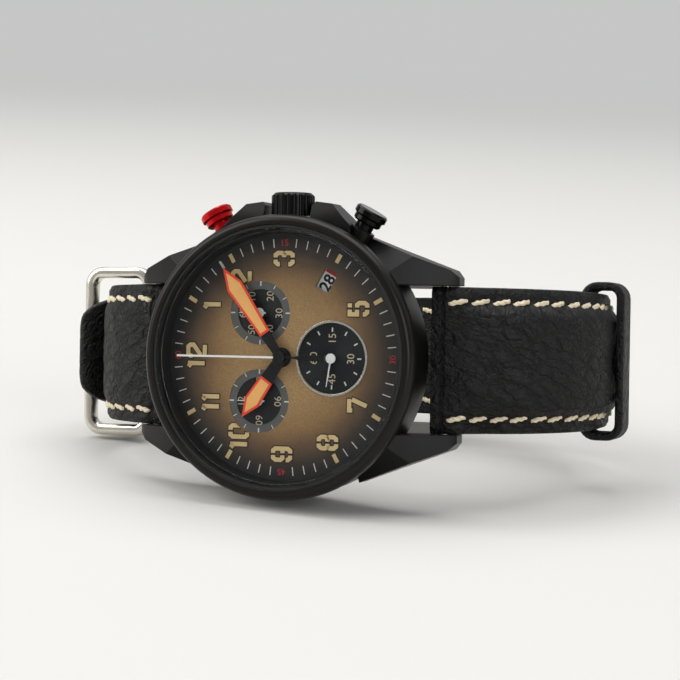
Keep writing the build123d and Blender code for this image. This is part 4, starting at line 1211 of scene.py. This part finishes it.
@dataclass
class Strap:
    """The closed strap: two padded halves, their stitching and holes, keepers, ring and buckle."""

    bar: Pair = (23.4, -3.4)
    width: float = 22.0
    right_x: float = 40.9
    left_x: float = 35.7
    right_bend: Pair = (6.0, 5.0)
    left_bend: Pair = (12.0, 6.5)
    buckle_width: float = 20.0
    tail_width: float = 18.0
    tip_width: float = 12.6
    thick: float = 3.7
    end_thick: float = 4.0
    buckle_thick: float = 3.0
    tail_thick: float = 2.4
    depth: float = 44.0
    buckle_place: float = -1.0
    gap: float = 0.35
    neck: float = 6.0
    reach: float = 13.0
    release: float = 25.0
    ring: tuple[float, float, float, float, float] = (12.6, 28.6, 1.9, 2.6, 3.2)
    ring_place: float = 23.0
    tip_length: float = 9.5
    flare: float = 45.0
    keeper_place: float = 12.0
    pitch: float = 7.0
    holes: int = 6
    keeper_wall: float = 1.3
    keeper_slack: float = 0.4
    keeper_corner: float = 2.6
    keeper_edge: float = 0.5
    loose_width: float = 6.0
    loose_place: float = 27.8
    fixed_width: float = 5.0
    ring_edge: float = 0.7
    tongue_slot: Pair = (2.5, 1.9)
    short_seam: Pair = (1.2, 7.0)
    long_seam: Pair = (1.6, 6.0)

    def run(self, flank_x: float, lead: float, flank: float, side: int) -> Path:
        """One side of the loop: an arc from the lug, a straight flank, a corner arc and the back."""
        start = -self.bar[1] + self.end_thick / 2
        slope = np.radians(lead)
        shoulder = (flank_x - self.bar[0]) / (1 - np.sin(slope))
        corner = self.depth - start - shoulder * np.cos(slope) - flank
        runs = [(shoulder * np.radians(90 - lead), 90 - lead), (flank, 0.0), (corner * np.pi / 2, 90.0),
                (flank_x - corner - side * self.buckle_place, 0.0)]
        return Path(side * self.bar[0], start, lead, side, runs)

    def right_run(self) -> Path:
        """The 6 o'clock side of the loop."""
        return self.run(self.right_x, *self.right_bend, 1)

    def left_run(self) -> Path:
        """The 12 o'clock side of the loop."""
        return self.run(self.left_x, *self.left_bend, -1)

    def short_thick(self, station: Array, length: float) -> Array:
        """Thickness of the 12 o'clock half: the end's, the strap's, then thinner at the buckle."""
        full = fade(self.end_thick, self.thick, station / self.neck)
        return fade(full, self.buckle_thick, (station / length - 0.55) / 0.35)

    def short_half(self) -> Layer:
        """The 12 o'clock half, round its lug bar and round the buckle's bar."""
        path = self.left_run()
        middle = np.linspace(0, path.length, 60)
        first, last = end_rows(self.end_thick / 2, 0.0, -1), end_rows(self.buckle_thick / 2, path.length, 1)
        thick = np.concatenate([first[1], self.short_thick(middle, path.length), last[1]])
        widths = fade(self.width, self.buckle_width, middle / path.length)
        widths = np.concatenate([np.full_like(first[0], self.width), widths,
                                 np.full_like(last[0], self.buckle_width)])
        lifts = np.concatenate([first[2], 0 * middle, last[2]])
        stations = np.concatenate([first[0], middle, last[0]])
        wide, deep = self.tongue_slot
        return Layer(path, stations, widths, thick, lifts, seed=11, notch=(wide, path.length - deep))

    def long_half(self) -> Layer:
        """The 6 o'clock half: its own side of the loop, over the other half, and the tip, as one path.

        The tip bends at its own face, which lies a height u over the path, so the path's arc there is longer
        by the angle times u.

        Returns:
            The layer.
        """
        right, left = self.right_run(), self.left_run()
        cover = left.length - self.release
        runs, used = [], 0.0
        for length, turn in reversed(left.runs):
            span = min(length, cover - used)
            if span > 0:
                runs.append((span, turn * span / length))
                used += span
        under = float(self.short_thick(np.array(self.release), left.length)) + self.gap
        bend = self.tip_length + np.radians(self.flare) * under
        outer = Path(right.x, right.w, right.heading, 1, right.runs + runs + [(bend, -self.flare)])
        covered = right.length - self.reach
        own = np.linspace(0, covered, 64)
        over = right.length + np.linspace(0, cover, 40)
        tip = over[-1] + bend * np.array([0.2, 0.4, 0.6, 0.75, 0.86, 0.94, 0.98, 1.0])
        own_thick = fade(self.end_thick, self.thick, own / self.neck)
        own_thick = fade(own_thick, self.tail_thick, (own / right.length - 0.5) / 0.3)
        first = end_rows(self.end_thick / 2, 0.0, -1)
        below = left.length - (over - right.length)
        over_lift = self.short_thick(below, left.length) + self.gap
        stations = np.concatenate([first[0], own, over, tip])
        thick = np.concatenate([first[1], own_thick, np.full_like(over, self.tail_thick),
                                self.tail_thick * np.array([1, 1, 1, 1, 0.97, 0.85, 0.65, 0.35])])
        lifts = np.concatenate([first[2], 0 * own, over_lift,
                                over_lift[-1] + np.array([0, 0, 0, 0, 0.03, 0.18, 0.4, 0.75])])
        widths = np.concatenate([
            np.full_like(first[0], self.width),
            fade(self.width, self.buckle_width, own / right.length),
            fade(self.buckle_width, self.tail_width, (over - right.length) / cover),
            self.tail_width + (self.tip_width - self.tail_width)
            * np.array([0.03, 0.12, 0.3, 0.5, 0.75, 1.0, 1.25, 1.6])])
        return Layer(outer, stations, widths, thick, lifts, edge=1.7, seed=23)

    def leather(self) -> None:
        """Both halves, their threads on both faces, and the row of holes."""
        short, long = self.short_half(), self.long_half()
        halves = (("strap_short", short, "strap_half_12"), ("strap_long", long, "strap_half_6"))
        for name, layer, node in halves:
            skin, along = layer.surface()
            place(name, skin, "case", "leather_black", LEATHER, (node,), smooth=180.0, along=along)
        spans = [(short, self.short_seam[0], short.path.length - self.short_seam[1]),
                 (long, self.long_seam[0], long.stations[-1] - self.long_seam[1])]
        for name, outside in (("strap_stitches", True), ("lining_stitches", False)):
            seams = [layer.stitches(start, end, outside=outside) for layer, start, end in spans]
            place(name, Shell.joined(seams), "case", "leather_black", THREAD, smooth=180.0)
        start = self.right_run().length
        spots = [start + self.keeper_place / 2 + self.pitch * step for step in range(self.holes)]
        holes = Shell.joined([long.hole(spot) for spot in spots])
        place("strap_holes", holes, "case", "leather_black", HOLE)

    def band(self, inner_x: float, inner_y: float, wall: float, width: float, corner: float,
             edge: float) -> tuple[Shell, Array]:
        """A closed band: a rounded section (u, v) carried round a rounded rectangle, (p + n u, v).

        Args:
            inner_x, inner_y: the opening.
            wall, width: the section.
            corner: the outer corner radius of the band.
            edge: the rounding of the section.

        Returns:
            The surface about its centre and its place along and across.
        """
        path, normal = (self.denser(line, 6) for line in self.rounded((inner_x, inner_y), corner - wall, 7))
        step = np.linalg.norm(np.diff(path, axis=0, append=path[:1]), axis=1)
        far = np.cumsum(step) - step
        section, _ = self.rounded((wall, width), edge, 5)
        u, v = section[:, 0] + wall / 2, section[:, 1]
        flat = path[:, None, :] + normal[:, None, :] * u[None, :, None]
        points = np.concatenate([flat, np.broadcast_to(v[None, :, None], flat.shape[:2] + (1,))], axis=-1)
        down, over = far[:, None] + 0 * v, v + u + 0 * far[:, None]
        along = np.stack([down, over, 0 * down + 90.0], axis=-1)
        return Shell.grid(points, ring=True), along.reshape(-1, 3)

    @staticmethod
    def rounded(size: Pair, radius: float, count: int) -> tuple[Array, Array]:
        """A rectangle with round corners: its points (x, y) about its middle, and their normals."""
        turn = np.arange(4)[:, None] * np.pi / 2 + np.linspace(0, np.pi / 2, count)
        normal = np.stack([np.cos(turn), np.sin(turn)], axis=-1)
        signs = np.array([[1, 1], [-1, 1], [-1, -1], [1, -1]])[:, None, :]
        centre = signs * (np.array(size) / 2 - radius)
        return (centre + normal * radius).reshape(-1, 2), normal.reshape(-1, 2)

    @staticmethod
    def denser(loop: Array, times: int) -> Array:
        """A closed loop of points with more between each two, along straight lines."""
        share = np.linspace(0, 1, times, endpoint=False)[None, :, None]
        after = np.roll(loop, -1, axis=0)
        return (loop[:, None] * (1 - share) + after[:, None] * share).reshape(-1, loop.shape[1])

    def keepers(self) -> None:
        """The leather keepers and the polished ring: the loose keeper and the ring on their own bodies, the
        fixed keeper on the case.
        """
        wall, slack, corner, edge = self.keeper_wall, self.keeper_slack, self.keeper_corner, self.keeper_edge
        inner = self.thick + self.gap + slack
        shell, along = self.band(inner, self.width + slack, wall, self.loose_width, corner, edge)
        shell.points += np.array([self.right_x - self.gap + inner / 2, 0, -self.loose_place])
        place("loose_keeper_band", shell, "loose_keeper", "leather_black", LEATHER, ("loose_keeper",), 60.0,
              along)
        inner = self.buckle_thick + self.tail_thick + self.gap * 4
        shell, along = self.band(inner, self.width + slack / 2, wall, self.fixed_width, corner, edge)
        shell.points = shell.points[:, [2, 1, 0]] * np.array([1, 1, -1])
        level = -(self.depth - self.gap) - inner / 2
        shell.points += np.array([self.buckle_place - self.keeper_place, 0, level])
        place("fixed_keeper_band", shell, "case", "leather_black", LEATHER, ("fixed_keeper",), 60.0, along)
        deep, high, bar, wide, corner = self.ring
        shell, _ = self.band(deep - bar * 2, high - bar * 2, bar, wide, corner, self.ring_edge)
        shell.points += np.array([-self.left_x + self.gap - (deep - bar * 2) / 2, 0, -self.ring_place])
        place("steel_ring_round", shell, "steel_ring", "steel_polished", STEEL, ("steel_ring",), 60.0)

    def build(self) -> None:
        """Makes all of it."""
        self.leather()
        self.keepers()
        merged("buckle_frame", "buckle_frame_steel", "case", SATIN)
        merged("buckle_tongue", "buckle_tongue_steel", "buckle_tongue", SATIN)


@dataclass
class Studio:
    """A pale sweep, soft lamps and the camera at the photograph's place."""

    turn: float = 19.4426
    rise: float = 10.9182
    roll: float = -1.6381
    away: float = 289.4
    lens: float = 100.57
    aim: Pair = (7.4175, 2.8362)
    floor_colour: Colour = tint(206, 205, 202)
    wall_colour: Colour = tint(196, 197, 196)
    air_colour: Colour = (0.86, 0.88, 0.9)
    air_strength: float = 0.35
    floor_front: float = -2.5
    bend_start: float = 1.0
    bend_radius: float = 0.7
    wall_top: float = 3.0
    half_width: float = 3.0
    glow_rise: Pair = (0.1, 1.1)
    lamp_target: Triple = (0.0, 0.0, 0.02)
    warm: Colour = (1.0, 0.98, 0.95)
    white: Colour = (1.0, 1.0, 1.0)

    def camera(self) -> None:
        """The camera: aimed along its turn and rise, rolled a little."""
        a, e = np.radians(self.turn), np.radians(self.rise)
        right = np.array([np.cos(a), np.sin(a), 0])
        back = np.array([np.cos(e) * np.sin(a), -np.cos(e) * np.cos(a), np.sin(e)])
        up = np.cross(back, right)
        spot = np.array(BENCH.shift) + self.aim[0] * right + self.aim[1] * up + self.away * back
        roll = np.radians(self.roll)
        level = np.cos(roll) * right - np.sin(roll) * up
        rise = np.sin(roll) * right + np.cos(roll) * up
        matrix = np.eye(4)
        matrix[:3, :] = np.column_stack([level, rise, back, spot * MM])
        lens = bpy.data.cameras.new("camera")
        lens.lens, lens.sensor_width, lens.clip_start = self.lens, 36.0, 0.01
        camera = linked("camera", lens)
        camera.matrix_world = Matrix(matrix.tolist())
        bpy.context.scene.camera = camera

    def sweep(self) -> None:
        """The floor, which bends up behind into a wall: a flat run, a quarter circle and an upright."""
        turn = np.linspace(0, np.pi / 2, 24)
        radius, wall = self.bend_radius, self.bend_start + self.bend_radius
        y = np.concatenate([[self.floor_front], self.bend_start + radius * np.sin(turn), [wall]])
        z = np.concatenate([[0.0], radius - radius * np.cos(turn), [self.wall_top]])
        x = np.array([-self.half_width, self.half_width])
        points = np.stack([x[None] + 0 * y[:, None], y[:, None] + 0 * x, z[:, None] + 0 * x], axis=-1)
        shell = Shell.grid(points, loop=False)
        mesh = bpy.data.meshes.new("studio_sweep")
        mesh.from_pydata(shell.points.tolist(), [], shell.faces)
        mesh.shade_smooth()
        floor = linked("studio_sweep", mesh)
        paint = Paint("studio_paint")
        at = paint.node("TexCoord", out="Object")
        grain = paint.noise(at, 3.0)
        dim = tuple(value * 0.97 for value in self.floor_colour)
        matt = paint.node("BsdfDiffuse", {"Color": paint.mix(grain, dim, self.floor_colour)})
        _, y, _ = paint.parts(at)
        seen = paint.node("LightPath", out="Is Camera Ray") + paint.node("LightPath", out="Is Glossy Ray")
        glow = paint.node("Emission", {"Color": (*self.wall_colour, 1), "Strength": 1.0})
        share = seen.clamped() * y.between(*self.glow_rise)
        mixed = paint.node("MixShader", {0: share, 1: matt, 2: glow})
        mesh.materials.append(paint.finish(mixed))

    def lamp(self, name: str, spot: Triple, size: Pair, power: float, colour: Colour) -> None:
        """A soft rectangular lamp that faces the watch, in metres and watts."""
        light = bpy.data.lights.new(name, "AREA")
        light.shape, light.size, light.size_y = "RECTANGLE", *size
        light.energy, light.color = power, colour
        lamp = linked(name, light)
        lamp.location = spot
        lamp.rotation_euler = (Vector(spot) - Vector(self.lamp_target)).to_track_quat("Z", "Y").to_euler()

    def build(self) -> None:
        """Sets up the whole studio."""
        self.camera()
        self.sweep()
        self.lamp("left_box", (-0.9, -0.5, 0.7), (0.9, 1.1), 13.0, self.warm)
        self.lamp("right_box", (1.0, -0.7, 0.5), (0.5, 0.8), 5.0, self.white)
        self.lamp("top_box", (0.0, 0.3, 1.3), (1.6, 1.0), 17.0, self.white)
        world = bpy.data.worlds.new("studio_air")
        bpy.context.scene.world = world
        world.use_nodes = True
        air = world.node_tree.nodes["Background"]
        air.inputs[0].default_value = (*self.air_colour, 1)
        air.inputs[1].default_value = self.air_strength
        bpy.context.scene.view_settings.view_transform = "Standard"


def main() -> None:
    """Builds the studio and the watch, part by part."""
    logging.basicConfig(level=logging.INFO, format="%(message)s")
    Studio().build()
    for assembly in (Case(), Dial(), Hands(), Strap()):
        log.info("%s", type(assembly).__name__)
        assembly.build()


if __name__ == "__main__":
    main()
